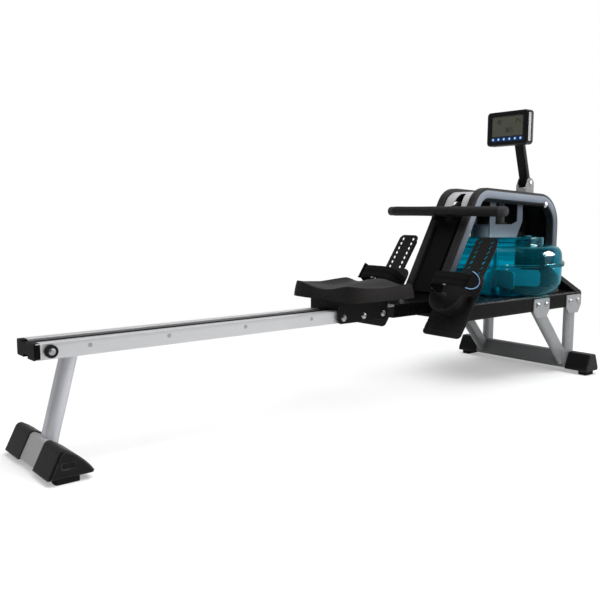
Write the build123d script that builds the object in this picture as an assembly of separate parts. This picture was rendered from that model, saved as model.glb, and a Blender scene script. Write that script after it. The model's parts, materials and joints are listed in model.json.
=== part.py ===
from build123d import *
import os
from math import asin, atan2, cos, hypot, radians, sin, tan

# Water rowing machine, in millimetres.
# x runs from the rail's rear end towards the tank, y to the rower's left, z up from the floor.
# The finished part is moved along x so that its origin is under the middle of its length.

# Seat rail
rail_length = 1170
rail_width = 112
rail_height = 38
rail_top = 306
track_width = 28
rail_wall = 3
groove_depth = 7
web_thickness = 5
strip_thickness = 1.5
strip_gap = 1
end_cap_thickness = 4
plug_length = 14
plug_gap = 0.2
stop_x = 34
stop_radius = 15
stop_thickness = 10
stop_bolt_radius = 4
stop_nut_radius = 6.8
rail_screw_stations = (130, 342, 580, 818)
rail_screw_radius = 4
rail_screw_sink = 0.5
rail_screw_drop = 15
splice_length = 160
splice_width = 16

# Rear leg and foot
rear_leg_width = 50
rear_leg_depth = 38
rear_leg_top_x = 107
rear_leg_lean = 15.2
rear_foot_back = -16.5
rear_foot_depth = 110
rear_foot_height = 81
rear_foot_length = 303
rear_bar_length = 97
rear_apex_inset = 34.5
rear_front_bulge = 7
rear_toe_height = 5.5
rear_toe_undercut = 2.5
rear_apex_radius = 14
bar_step = 3
bar_wall = 3
rear_pad_height = 12.5
pad_margin = 5
pad_corner = 6
rear_pad_length = 30
rear_pad_depth = 58
rear_pad_back = 1
cap_recess_width = 32
cap_recess_height = 14
cap_recess_depth = 4
cap_recess_inset = 47
cap_recess_rise = 41
cap_bevel_depth = 8
cap_bevel_share = 0.9

# Front foot and legs
front_foot_setback = 107
front_foot_depth = 80
front_foot_height = 78
front_foot_length = 597
front_bar_length = 416
front_ridge_back = 23
front_ridge_depth = 36
front_toe_height = 12
front_corner_radius = 7
front_toe_radius = 4
front_low_radius = 3
cap_chamfer = 2.5
front_pad_length = 34
front_pad_depth = 54
front_pad_height = 15
leg_width = 52
leg_depth = 30
leg_wall = 2.5
upright_setback = 57
brace_spread = 214
brace_foot_inset = 19
brace_foot_rise = 30
plate_width = 96
plate_height = 46
plate_thickness = 4
plate_tab = 24
plate_corner = 6
plate_tab_corner = 4
plate_bolt_spacing = 52
bolt_head_radius = 7.5
bolt_head_height = 4

# Base frame
beam_outer = 200
beam_width = 40
beam_height = 56
beam_top = 305
beam_wall = 2.5
beam_setback = 11
front_margin = 37
beam_edge_radius = 6
spine_length = 183
spine_width = 104
spine_height = 44
cross_depth = 57
front_cross_depth = 40
tray_thickness = 3
strut_size = 38
strut_rise = 31.5

# Arch: a bent band seen from the side, with a panel on each side of the pulleys
arch_setback = 7
arch_lean = 60.8
arch_height = 399.5
arch_fall = 2.6
arch_overhang = 4
arch_band_width = 48
arch_post_width = 36
arch_half_width = 86
panel_thickness = 30
face_thickness = 1.5
face_margin = 3
rear_bend = 85
front_bend = 120
cover_inset = 13
cover_thickness = 3
cover_gap = 0.3
cover_split = 184
shroud_drop = 108.5
shroud_ridge_width = 78
shroud_ridge_inset = 5
shroud_ridge_margin = 27
slot_low_width = 52
slot_high_width = 26
slot_drop = 32.5
slot_corner = 6
arch_bolt_setback = 96.5
arch_bolt_drop = 67.5
arch_bolt_radius = 9

# Tank
tank_reach = 430
tank_radius = 240
tank_draft = 3
tank_wall = 4
tank_lower_height = 105
tank_upper_height = 72
tank_bowl_radius = 48
tank_shoulder_radius = 36
tank_shoulder_fall = 6
lid_radius = 172
lid_height = 28
lid_foot_radius = 3
lid_edge_radius = 5
flange_width = 8
flange_thickness = 5
gasket_thickness = 1
lug_radius = 7
lug_count = 8
tank_bolt_radius = 4
plug_radius = 15
plug_height = 7
plug_offset = 120
plug_turn = 40
plug_stem_radius = 9

# Impeller and drive
shaft_radius = 8
shaft_floor_gap = 1
shaft_hole_gap = 8
running_clearance = 0.05
bearing_radius = 16
bearing_height = 12
bearing_boss = 12
hub_radius = 24
blade_count = 6
blade_radius = 165
blade_thickness = 4
blade_height = 62
blade_corner = 15
blade_floor_gap = 20
drum_radius = 36
drum_core_radius = 28
drum_flange = 3
strap_width = 22
strap_thickness = 2
strap_side_gap = 2
strap_gap = 0.3
strap_twist_steps = 6
drum_floor_gap = 3
shaft_stand = 4
idler_radius = 20
idler_flange = 3
idler_rim = 4
idler_back = 210
idler_drop = 84.5
idler_axle_radius = 5
idler_collar_radius = 8
idler_side_gap = 0.5
bracket_half_width = 43
bracket_plate = 3
bracket_back = 102
bracket_floor_reach = 68
bracket_top_reach = 101
bracket_arm = 34
bracket_skirt = 45
bracket_knee_rise = 11

# Handle
handle_standoff = 37.5
handle_drop = 95.5
handle_length = 523
handle_core_radius = 12.5
grip_radius = 17.5
handle_cap_length = 25
handle_cap_radius = 16.5
handle_cap_edge = 2
handle_wall = 2
shackle_width = 52
shackle_radius = 17
shackle_reach = 36
shackle_thickness = 6
shackle_lip = 1
rest_half_gap = 28
rest_width = 14
rest_height = 15
rest_reach = 16
rest_depth = 80

# Seat
seat_setback = 271
seat_depth = 277
seat_width = 304
seat_rise = 32
seat_crest = 52
seat_lip_share = 0.93
seat_hollow_share = 0.46
carriage_inset = 18
carriage_length = 212
carriage_plate = 5
carriage_side_gap = 5
carriage_drop = 40
carriage_corner = 12
carriage_end_gap = 2
roller_radius = 12.5
roller_width = 20
roller_gap = 0.3
roller_edge = 1.5
roller_inset = 33
roller_axle_radius = 4
glide_radius = 10
glide_gap = 0.3
carriage_bolt_spacing = 85
carriage_bolt_drop = 22
carriage_bolt_radius = 6.5

# Footrests
foot_angle = 55
heel_setback = 79
heel_drop = 44
board_middle = 177
board_width = 88
board_bottom = 36
board_length = 349
board_thickness = 6
board_wall = 5
board_wall_depth = 24
board_inner_wall_from = 160
board_wall_to = 330
board_corner = 18
board_low_corner = 4
board_holes = 8
board_hole_pitch = 20.3
board_hole_turn = 28
board_hole_length = 13
board_hole_width = 7
board_hole_columns = 49
board_hole_margin = 17
cradle_middle = 165.5
cradle_foot_width = 157
cradle_toe_width = 140
cradle_flare = 60
cradle_length = 238
cradle_thickness = 6
cradle_gap = 0.3
cradle_heel_corner = 14
cradle_flare_radius = 20
cradle_toe_corner = 24
cup_low = 62
cup_radius = 60
cup_wall = 5
cup_height = 72
cup_length = 24
cup_run_out = 4
foot_strap_low = 146
foot_strap_width = 50
foot_strap_half = 78
foot_strap_rise = 88
foot_strap_thickness = 4
foot_strap_knee_share = 0.72
foot_strap_knee_rise_share = 0.8
foot_bracket_width = 32
foot_bracket_plug = 40

# Console
pivot_setback = 104
pivot_rise = 17.5
pivot_radius = 5
pivot_head_radius = 8.5
pivot_nut_radius = 9
mast_lean = 17
mast_width = 38
mast_depth = 22
mast_length = 212
mast_edge_radius = 5
mast_wall = 2
mast_foot_radius = 19
ear_gap = 0.5
ear_thickness = 3
ear_depth = 52
ear_rise = 16
ear_flat = 24
ear_drop = 14
ear_corner = 8
clevis_wall = 34
console_reach = 130
console_width = 182
console_height = 127
console_rise = 135
console_corner = 14
console_front_edge = 3
console_rear_edge = 6
front_shell_depth = 22
rear_shell_depth = 16
shell_wall = 3
shell_face = 10
boss_width = 40
boss_height = 46
lens_width = 134
lens_height = 72
lens_top_margin = 20
lens_thickness = 2.5
lens_sink = 0.5
lens_corner = 4
button_count = 6
button_pitch = 24.4
button_radius = 5.5
button_gap = 0.3
button_height = 24
button_stand = 1.8
button_depth = 8
button_travel = 1.2
button_edge = 0.8

# Heights and places that follow from the sizes above
cross_rear = rail_length + spine_length
cross_front = cross_rear + cross_depth
tank_x = cross_rear + tank_reach
beam_rear = cross_rear + beam_setback
beam_front = tank_x + tank_radius + front_margin
front_cross_rear = beam_front - front_cross_depth
arch_rear = cross_rear - arch_setback
arch_front = beam_front + arch_overhang
arch_top = beam_top + arch_height
cover_split_x = arch_front - cover_split
shroud_top = arch_top - shroud_drop
slot_top = arch_top - slot_drop
arch_bolt_x = arch_front - arch_bolt_setback
arch_bolt_z = arch_top - arch_bolt_drop
front_foot_back = beam_front - front_foot_setback
leg_upright_x = beam_front - upright_setback
brace_top_x = leg_upright_x - brace_spread
brace_foot_x = front_foot_back + brace_foot_inset
brace_foot_z = front_pad_height + brace_foot_rise
idler_x = tank_x - idler_back
idler_z = arch_top - idler_drop
handle_z = arch_top - handle_drop
handle_x = (arch_rear + (handle_z - beam_top) / tan(radians(arch_lean))
            - handle_standoff / sin(radians(arch_lean)))
seat_rear = rail_length - seat_setback
seat_under = rail_top + seat_rise
carriage_rear = seat_rear + carriage_inset
carriage_bolt_height = rail_top - carriage_bolt_drop
pivot_x = beam_front - pivot_setback
pivot_z = arch_top + pivot_rise
console_front = pivot_x - console_reach
console_bottom = pivot_z + console_rise
bracket_rear = tank_x - bracket_back
bracket_floor_front = tank_x + bracket_floor_reach
bracket_top_front = tank_x + bracket_top_reach
rail_bottom = rail_top - rail_height
rail_half = rail_width / 2
groove_floor = rail_top - groove_depth
track_inner = rail_half - track_width
beam_bottom = beam_top - beam_height
beam_inner = beam_outer - beam_width
heel_x = cross_rear - heel_setback
heel_z = beam_bottom - heel_drop
panel_inner = arch_half_width - panel_thickness
flange_z = beam_top + tank_lower_height
upper_z = flange_z + 2 * flange_thickness + gasket_thickness
shoulder_z = flange_z + flange_thickness + gasket_thickness + tank_upper_height
lid_z = shoulder_z + lid_height
bracket_floor = lid_z + bracket_skirt
bracket_knee = bracket_floor + bracket_knee_rise
drum_bottom = bracket_floor + drum_floor_gap
drum_height = strap_width + 2 * strap_side_gap + 2 * drum_flange
drum_top = drum_bottom + drum_height

parts = {}


def block(x0, x1, y0, y1, z0, z1):
    centre = Pos((x0 + x1) / 2, (y0 + y1) / 2, (z0 + z1) / 2)
    return centre * Box(x1 - x0, y1 - y0, z1 - z0)


def rod(start, direction, radius, length):
    return extrude(Plane(origin=start, z_dir=direction) * Circle(radius), length)


def rod_y(x, z, radius, y0, y1):
    return rod((x, y0, z), (0, 1, 0), radius, y1 - y0)


def rod_z(x, y, radius, z0, z1):
    return rod((x, y, z0), (0, 0, 1), radius, z1 - z0)


# Six-sided bolt heads, along y and along z
def hexagon_y(x, z, radius, y0, y1):
    return extrude(Plane(origin=(x, y0, z), z_dir=(0, 1, 0)) * RegularPolygon(radius, 6), y1 - y0)


def hexagon_z(x, y, radius, z0, z1):
    return extrude(Plane(origin=(x, y, z0), z_dir=(0, 0, 1)) * RegularPolygon(radius, 6), z1 - z0)


# A face drawn in x and z, made y0 to y1 thick
def slab(face, y0, y1):
    plane = Plane(origin=(0, y0, 0), x_dir=(1, 0, 0), z_dir=(0, -1, 0))
    return extrude(plane * face, y1 - y0, dir=(0, 1, 0))


# A face drawn in y and z, made x0 to x1 long
def bar(face, x0, x1):
    plane = Plane(origin=(x0, 0, 0), x_dir=(0, 1, 0), z_dir=(1, 0, 0))
    return extrude(plane * face, x1 - x0)


# A closed outline with its corners rounded, as a face
def outline(points, radii):
    return make_face(FilletPolyline(*points, radius=radii, close=True))


# A profile of radius and height, turned about an upright axis
def turned(face, x, y=0):
    plane = Plane(origin=(x, y, 0), x_dir=(1, 0, 0), z_dir=(0, -1, 0))
    return revolve(plane * face, axis=Axis((x, y, 0), (0, 0, 1)))


def both_sides(solid):
    return [solid, mirror(solid, about=Plane.XZ)]


def rounded_along(solid, axis, radius):
    return fillet(solid.edges().filter_by(axis), radius)


# Seat rail and what is fixed to it

def rail_outline():
    profile = Rectangle(rail_width, rail_height)
    profile -= Pos(0, rail_height / 2 - groove_depth / 2) * Rectangle(2 * track_inner, groove_depth)
    channel = rail_height - groove_depth - web_thickness
    profile -= Pos(0, channel / 2 - rail_height / 2) * Rectangle(2 * track_inner, channel)
    return Pos(0, rail_top - rail_height / 2) * profile


def chamber_middle():
    return rail_half - track_width / 2


# Screws through the rail's side walls, up to the given distance from its middle
def rail_screws(face):
    screw_z = rail_top - rail_screw_drop
    screws = []
    for x in rail_screw_stations:
        screws += both_sides(hexagon_y(x, screw_z, rail_screw_radius, rail_half - rail_wall, face))
    return screws


def make_rail():
    middle_z = rail_top - rail_height / 2
    chamber = Rectangle(track_width - 2 * rail_wall, rail_height - 2 * rail_wall)
    hollow = rail_outline()
    for side in (1, -1):
        hollow -= Pos(side * chamber_middle(), middle_z) * chamber
    rail = bar(hollow, 0, rail_length)
    for pocket in rail_screws(rail_half):
        rail -= pocket
    parts["seat_rail"] = rail
    strip_half = track_inner - strip_gap
    parts["rail_track_strip"] = block(
        strip_gap, rail_length - strip_gap, -strip_half, strip_half,
        groove_floor, groove_floor + strip_thickness)
    cap = bar(rail_outline(), -end_cap_thickness, 0)
    tongue_half_y = track_width / 2 - rail_wall - plug_gap
    tongue_half_z = rail_height / 2 - rail_wall - plug_gap
    for side in (1, -1):
        y = side * chamber_middle()
        cap += block(0, plug_length, y - tongue_half_y, y + tongue_half_y,
                     middle_z - tongue_half_z, middle_z + tongue_half_z)
    parts["rail_end_cap"] = cap
    disc = rod_y(stop_x, middle_z, stop_radius, rail_half, rail_half + stop_thickness)
    disc -= rod_y(stop_x, middle_z, stop_bolt_radius, rail_half, rail_half + stop_thickness)
    parts["rail_stops"] = both_sides(disc)


# Rear leg and rear foot

# Flat back, rounded ridge and a front that bulges from the ridge down to the toe
def rear_foot_outline():
    back = (rear_foot_back, rear_pad_height)
    apex = (rear_foot_back + rear_apex_inset, rear_foot_height)
    toe = (rear_foot_back + rear_foot_depth, rear_pad_height + rear_toe_height)
    under = (toe[0] - rear_toe_undercut, rear_pad_height)
    chord = hypot(toe[0] - apex[0], apex[1] - toe[1])
    middle = ((apex[0] + toe[0]) / 2 + rear_front_bulge * (apex[1] - toe[1]) / chord,
              (apex[1] + toe[1]) / 2 + rear_front_bulge * (toe[0] - apex[0]) / chord)
    front = ThreePointArc(apex, middle, toe)
    face = make_face([Line(back, apex), front, Line(toe, under), Line(under, back)])
    return fillet(face.vertices().sort_by(Axis.Y)[-1], rear_apex_radius)


def tube_section(face, step, wall):
    return offset(face, -step, kind=Kind.INTERSECTION) - offset(face, -step - wall, kind=Kind.INTERSECTION)


def make_rear_foot():
    profile = rear_foot_outline()
    half_bar = rear_bar_length / 2
    half_foot = rear_foot_length / 2
    foot_bar = slab(tube_section(profile, bar_step, bar_wall), -half_bar, half_bar)
    parts["rear_foot_bar"] = foot_bar
    lean_run = tan(radians(rear_leg_lean))
    leg_top = groove_floor - web_thickness
    leg_foot = rear_foot_height / 2 + rear_pad_height
    foot_x = rear_leg_top_x - (leg_top - leg_foot) * lean_run
    leg_line = (lean_run, 0, 1)
    section = SlotOverall(rear_leg_width, rear_leg_depth)
    section -= SlotOverall(rear_leg_width - 2 * leg_wall, rear_leg_depth - 2 * leg_wall)
    plane = Plane(origin=(foot_x, 0, leg_foot), x_dir=(0, 1, 0), z_dir=leg_line)
    leg = extrude(plane * section, (leg_top - leg_foot) / cos(radians(rear_leg_lean)) + rear_leg_depth)
    leg -= block(0, 2 * rear_leg_top_x, -rear_leg_width, rear_leg_width, leg_top, 2 * leg_top)
    leg -= slab(offset(profile, -bar_step, kind=Kind.INTERSECTION), -half_bar, half_bar)
    parts["rear_leg"] = leg
    bevel = half_foot - cap_bevel_depth
    cap = slab(profile, half_bar, bevel)
    end_plane = Plane(origin=(0, bevel, 0), x_dir=(1, 0, 0), z_dir=(0, -1, 0))
    end_face = scale(profile, by=cap_bevel_share)
    end_face = Pos(profile.center() - end_face.center()) * end_face
    cap += loft([end_plane * profile, end_plane.offset(-cap_bevel_depth) * end_face], ruled=True)
    recess_x = rear_foot_back + cap_recess_inset
    cap -= block(recess_x - cap_recess_width / 2, recess_x + cap_recess_width / 2,
                 half_foot - cap_recess_depth, half_foot,
                 cap_recess_rise - cap_recess_height / 2, cap_recess_rise + cap_recess_height / 2)
    pad_end = half_foot - pad_margin
    pad = block(rear_pad_back, rear_pad_back + rear_pad_depth, pad_end - rear_pad_length, pad_end,
                0, rear_pad_height)
    return both_sides(cap), both_sides(rounded_along(pad, Axis.Z, pad_corner))


# Front foot, legs and their bracket plates

def front_foot_outline():
    back = front_foot_back
    front = back + front_foot_depth
    ridge = back + front_ridge_back
    toe = front_pad_height + front_toe_height
    points = [(back, front_pad_height), (back, toe), (ridge, front_foot_height),
              (ridge + front_ridge_depth, front_foot_height), (front, toe), (front, front_pad_height)]
    return outline(points, [front_low_radius, front_toe_radius, front_corner_radius, front_corner_radius,
                            front_toe_radius, front_low_radius])


def oval_tube(start, direction, length):
    section = SlotOverall(leg_width, leg_depth)
    section -= SlotOverall(leg_width - 2 * leg_wall, leg_depth - 2 * leg_wall)
    across = Vector(*direction).cross(Vector(0, 1, 0))
    plane = Plane(origin=start, x_dir=tuple(across), z_dir=direction)
    return extrude(plane * section, length)


def make_front_stand(rear_caps, rear_pads):
    profile = front_foot_outline()
    half_bar = front_bar_length / 2
    half_foot = front_foot_length / 2
    parts["front_foot_bar"] = slab(tube_section(profile, bar_step, bar_wall), -half_bar, half_bar)
    cap = slab(profile, half_bar, half_foot)
    end_edges = cap.faces().sort_by(Axis.Y)[-1].edges()
    cap = chamfer(end_edges, cap_chamfer)
    parts["foot_caps"] = rear_caps + both_sides(cap)
    pad_back = front_foot_back + (front_foot_depth - front_pad_depth) / 2
    pad_end = half_foot - 2 * pad_margin
    pad = block(pad_back, pad_back + front_pad_depth, pad_end - front_pad_length, pad_end,
                0, front_pad_height)
    parts["foot_pads"] = rear_pads + both_sides(rounded_along(pad, Axis.Z, pad_corner))

    leg_y = beam_outer - leg_depth / 2
    inside = slab(offset(profile, -bar_step, kind=Kind.INTERSECTION), 0, half_bar)
    above = block(brace_top_x - 2 * leg_width, beam_front, 0, beam_outer, beam_bottom, beam_top + leg_width)
    upright = oval_tube((leg_upright_x, leg_y, brace_foot_z), (0, 0, 1), beam_bottom - brace_foot_z)
    upright -= inside
    run = brace_top_x - brace_foot_x
    rise = beam_bottom - brace_foot_z
    reach = hypot(run, rise)
    brace = oval_tube((brace_foot_x, leg_y, brace_foot_z), (run / reach, 0, rise / reach), reach + leg_width)
    brace -= inside
    brace -= above
    upright = max(upright.solids(), key=lambda solid: solid.volume)
    brace = max(brace.solids(), key=lambda solid: solid.volume)
    parts["front_legs"] = both_sides(upright) + both_sides(brace)

    plates = []
    bolts = []
    for x in (leg_upright_x, brace_top_x):
        top = beam_bottom + plate_height
        points = [(x - plate_width / 2, top), (x + plate_width / 2, top),
                  (x + plate_width / 2, beam_bottom), (x + leg_depth, beam_bottom - plate_tab),
                  (x - leg_depth, beam_bottom - plate_tab), (x - plate_width / 2, beam_bottom)]
        face = outline(points, 2 * [plate_corner] + 4 * [plate_tab_corner])
        plates += both_sides(slab(face, beam_outer, beam_outer + plate_thickness))
        for step in (-plate_bolt_spacing / 2, plate_bolt_spacing / 2):
            y0 = beam_outer + plate_thickness
            z = beam_bottom + plate_height / 2
            bolt = hexagon_y(x + step, z, bolt_head_radius, y0, y0 + bolt_head_height)
            bolts += both_sides(bolt)
    parts["leg_brackets"] = plates
    return bolts


# Black base frame and tray

def tube_x(x0, x1, y0, y1, z0, z1, wall, front_wall):
    outer = rounded_along(block(x0, x1, y0, y1, z0, z1), Axis.X, beam_edge_radius)
    return outer - block(x0, x1 - front_wall, y0 + wall, y1 - wall, z0 + wall, z1 - wall)


def make_base():
    beam = tube_x(beam_rear, beam_front, beam_inner, beam_outer, beam_bottom, beam_top, beam_wall, beam_wall)
    parts["side_beams"] = both_sides(beam)
    spine_bottom = rail_top - spine_height
    spine = block(rail_length, cross_rear, -spine_width / 2, spine_width / 2, spine_bottom, rail_top)
    spine -= block(rail_length, cross_rear, rail_wall - spine_width / 2, spine_width / 2 - rail_wall,
                   spine_bottom + rail_wall, rail_top - rail_wall)
    splice_inner = track_inner + rail_wall
    splice = block(rail_length - splice_length / 2, rail_length + splice_length / 2, splice_inner,
                   splice_inner + splice_width, rail_bottom + rail_wall, rail_top - rail_wall)
    for tongue in both_sides(splice):
        spine += tongue
    cross = block(cross_rear, cross_front, -beam_inner, beam_inner, beam_bottom, beam_top)
    cross -= block(cross_rear + beam_wall, cross_front - beam_wall, -beam_inner, beam_inner,
                   beam_bottom + beam_wall, beam_top - beam_wall)
    parts["spine_beam"] = spine + cross
    front = block(front_cross_rear, beam_front, -beam_inner, beam_inner, beam_bottom, beam_top)
    front -= block(front_cross_rear + beam_wall, beam_front - beam_wall, -beam_inner, beam_inner,
                   beam_bottom + beam_wall, beam_top - beam_wall)
    parts["tank_tray"] = block(cross_front, front_cross_rear, -beam_inner, beam_inner,
                               beam_top - tray_thickness, beam_top)
    slope = tan(radians(strut_rise))
    drop = strut_size / cos(radians(strut_rise))
    rise = (beam_outer - arch_half_width) * slope
    edge = [(beam_outer, beam_top), (arch_half_width, beam_top + rise),
            (arch_half_width, beam_top + rise - drop), (beam_outer, beam_top - drop)]
    strut_rear = beam_front - strut_size
    strut = bar(outline(edge, 0), strut_rear, beam_front)
    strut &= block(strut_rear, beam_front, arch_half_width, beam_outer, beam_top, beam_top + rise)
    for arm in both_sides(strut):
        front += arm
    parts["front_crossbar"] = front


# Arch panels, faces and covers

def arch_corners(inset):
    climb = tan(radians(arch_lean))
    fall = tan(radians(arch_fall))
    rear = arch_rear + inset / sin(radians(arch_lean))
    top = arch_top - inset / cos(radians(arch_fall))
    bend_x = (top - beam_top + rear * climb + arch_rear * fall) / (climb + fall)
    bend_z = top - (bend_x - arch_rear) * fall
    front = arch_front - inset * arch_post_width / arch_band_width
    front_z = top - (front - arch_rear) * fall
    return [(rear, beam_top), (bend_x, bend_z), (front, front_z), (front, beam_top)]


def arch_band(outer, inner):
    points = arch_corners(outer) + arch_corners(inner)[::-1]
    radii = [0, rear_bend - outer, front_bend - outer, 0, 0, front_bend - inner, rear_bend - inner, 0]
    return outline(points, radii)


def make_arch():
    band = arch_band(0, arch_band_width)
    face_inner = arch_half_width - face_thickness
    panel = slab(band, panel_inner, face_inner)
    panel -= rod_y(idler_x, idler_z, idler_axle_radius, panel_inner, panel_inner + panel_thickness / 2)
    parts["arch_panels"] = both_sides(panel)
    face = slab(arch_band(face_margin, arch_band_width - face_margin), face_inner, arch_half_width)
    parts["arch_faces"] = both_sides(face)

    half = panel_inner - cover_gap
    low, high = cover_inset, cover_inset + cover_thickness
    skin = slab(arch_band(low, high), -half, half)
    rear_zone = block(arch_rear, cover_split_x, -half, half, 0, shroud_top)
    top_zone = block(arch_rear, cover_split_x, -half, half, shroud_top, arch_top)
    front_zone = block(cover_split_x, arch_front, -half, half, 0, arch_top)
    ridge_half = shroud_ridge_width / 2
    ridge = slab(arch_band(shroud_ridge_inset, low), -ridge_half, ridge_half)
    ridge &= block(arch_rear, cover_split_x, -half, half,
                   beam_top + shroud_ridge_margin, shroud_top - shroud_ridge_margin)
    parts["rear_shroud"] = (skin & rear_zone) + ridge
    slot_low, slot_high = slot_low_width / 2, slot_high_width / 2
    slot = outline([(-slot_low, shroud_top), (slot_low, shroud_top), (slot_high, slot_top),
                    (-slot_high, slot_top)], [0, 0, slot_corner, slot_corner])
    parts["top_cover"] = (skin & top_zone) - bar(slot, arch_rear, idler_x + rear_bend)
    parts["front_cover"] = skin & front_zone
    bolt_top = arch_half_width + bolt_head_height
    bolt = rod_y(arch_bolt_x, arch_bolt_z, arch_bolt_radius, arch_half_width, bolt_top)
    return both_sides(bolt)


# Water tank

def make_tank():
    edge = tank_radius + flange_width
    base = tank_radius - tank_draft
    floor = beam_top + tank_wall
    lower = outline(
        [(0, beam_top), (base, beam_top), (tank_radius, flange_z), (edge, flange_z),
         (edge, flange_z + flange_thickness), (tank_radius - tank_wall, flange_z + flange_thickness),
         (base - tank_wall, floor), (0, floor)],
        [0, tank_bowl_radius, 0, 0, 0, 0, tank_bowl_radius - tank_wall, 0])
    boss = rod_z(tank_x, 0, bearing_radius + tank_wall, floor, floor + bearing_height)
    boss -= rod_z(tank_x, 0, bearing_radius, floor, floor + bearing_height)
    gasket_z = flange_z + flange_thickness
    dome_z = gasket_z + gasket_thickness
    gasket = outline([(tank_radius - tank_wall, gasket_z), (edge, gasket_z), (edge, dome_z),
                      (tank_radius - tank_wall, dome_z)], 0)
    rim = shoulder_z - tank_shoulder_fall
    seat = bearing_radius
    upper = outline(
        [(tank_radius - tank_wall, dome_z), (edge, dome_z), (edge, upper_z), (tank_radius, upper_z),
         (base, rim), (lid_radius, shoulder_z), (lid_radius, lid_z), (seat, lid_z),
         (seat, lid_z - bearing_height), (seat + bearing_boss, lid_z - bearing_height),
         (seat + bearing_boss, lid_z - tank_wall), (lid_radius - tank_wall, lid_z - tank_wall),
         (lid_radius - tank_wall, shoulder_z - tank_wall), (base - tank_wall, rim - tank_wall)],
        [0, 0, 0, 0, tank_shoulder_radius, lid_foot_radius, lid_edge_radius, 0, 0, 0, lid_foot_radius,
         lid_foot_radius, 0, tank_shoulder_radius - tank_wall])
    lower_solid = turned(lower, tank_x) + boss
    upper_solid = turned(upper, tank_x)
    bolts = []
    for index in range(lug_count):
        turn = radians(360 / lug_count * index)
        x = tank_x + edge * cos(turn)
        y = edge * sin(turn)
        lower_solid += rod_z(x, y, lug_radius, flange_z, gasket_z)
        upper_solid += rod_z(x, y, lug_radius, dome_z, upper_z)
        bolts.append(hexagon_z(x, y, tank_bolt_radius, upper_z, upper_z + bolt_head_height))
        bolts.append(hexagon_z(x, y, tank_bolt_radius, flange_z - bolt_head_height, flange_z))
    parts["tank_lower"] = lower_solid
    parts["tank_gasket"] = turned(gasket, tank_x)
    parts["tank_bolts"] = bolts
    plug_x = tank_x + plug_offset * cos(radians(plug_turn))
    plug_y = -plug_offset * sin(radians(plug_turn))
    upper_solid -= rod_z(plug_x, plug_y, plug_stem_radius, lid_z - tank_wall, lid_z)
    parts["tank_upper"] = upper_solid
    parts["tank_plug"] = (rod_z(plug_x, plug_y, plug_radius, lid_z, lid_z + plug_height)
                          + rod_z(plug_x, plug_y, plug_stem_radius, lid_z - tank_wall, lid_z))
    bore = shaft_radius + running_clearance
    rings = []
    for z in (floor, lid_z - bearing_height):
        ring = rod_z(tank_x, 0, bearing_radius, z, z + bearing_height)
        rings.append(ring - rod_z(tank_x, 0, bore, z, z + bearing_height))
    parts["shaft_bearings"] = rings


# Impeller, drum, idler and strap

def make_impeller():
    foot = beam_top + tank_wall + shaft_floor_gap
    parts["impeller_shaft"] = rod_z(tank_x, 0, shaft_radius, foot, drum_top + shaft_stand)
    low = beam_top + tank_wall + blade_floor_gap
    wheel = rod_z(tank_x, 0, hub_radius, low, low + blade_height)
    blade = block(tank_x, tank_x + blade_radius, -blade_thickness / 2, blade_thickness / 2,
                  low, low + blade_height)
    corner = blade.edges().filter_by(Axis.Y).sort_by(Axis.X)[-2:]
    blade = fillet(corner, blade_corner)
    hub_axis = Axis((tank_x, 0, 0), (0, 0, 1))
    for index in range(blade_count):
        wheel += blade.rotate(hub_axis, 360 / blade_count * index)
    wheel -= rod_z(tank_x, 0, shaft_radius, low, low + blade_height)
    parts["impeller"] = wheel


def make_drive():
    core = drum_core_radius
    bore = shaft_radius + running_clearance
    low_flange, high_flange = drum_bottom + drum_flange, drum_top - drum_flange
    profile = outline([(bore, drum_bottom), (drum_radius, drum_bottom), (drum_radius, low_flange),
                       (core, low_flange), (core, high_flange), (drum_radius, high_flange),
                       (drum_radius, drum_top), (bore, drum_top)], 0)
    parts["drive_drum"] = turned(profile, tank_x)

    half = strap_width / 2 + strap_side_gap
    rim = idler_radius + idler_rim
    wheel = rod_y(idler_x, idler_z, idler_radius, -half, half)
    for y in (-half - idler_flange, half):
        wheel += rod_y(idler_x, idler_z, rim, y, y + idler_flange)
    bore = idler_axle_radius + running_clearance
    wheel -= rod_y(idler_x, idler_z, bore, -half - idler_flange, half + idler_flange)
    parts["top_idler"] = wheel
    seat = panel_inner + panel_thickness / 2
    axle = rod_y(idler_x, idler_z, idler_axle_radius, -seat, seat)
    collar_from = half + idler_flange + idler_side_gap
    for y0, y1 in ((collar_from, panel_inner), (-panel_inner, -collar_from)):
        axle += rod_y(idler_x, idler_z, idler_collar_radius, y0, y1)

    low = lid_z
    cover_under = arch_corners(cover_inset + cover_thickness)
    reach = cover_under[1][1] - (bracket_top_front - cover_under[1][0]) * tan(radians(arch_fall)) - cover_gap
    rear_reach = cover_under[1][1] - (bracket_rear - cover_under[1][0]) * tan(radians(arch_fall)) - cover_gap
    arm_reach = rear_reach - bracket_arm * tan(radians(arch_fall))
    front_arm_reach = reach + bracket_arm * tan(radians(arch_fall))
    floor_end = bracket_floor_front - bracket_arm
    points = [(bracket_rear, low), (bracket_floor_front, low), (bracket_top_front, bracket_knee),
              (bracket_top_front, reach), (bracket_top_front - bracket_arm, front_arm_reach),
              (bracket_top_front - bracket_arm, bracket_knee), (floor_end, bracket_floor),
              (bracket_rear + bracket_arm, bracket_floor), (bracket_rear + bracket_arm, arm_reach),
              (bracket_rear, rear_reach)]
    side = slab(outline(points, 0), bracket_half_width - bracket_plate, bracket_half_width)
    floor = block(bracket_rear, floor_end, bracket_plate - bracket_half_width,
                  bracket_half_width - bracket_plate, bracket_floor - bracket_plate, bracket_floor)
    floor -= rod_z(tank_x, 0, shaft_radius + shaft_hole_gap, lid_z, drum_bottom)
    bracket = floor
    for plate in both_sides(side):
        bracket += plate
    parts["pulley_bracket"] = bracket
    return axle


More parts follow.
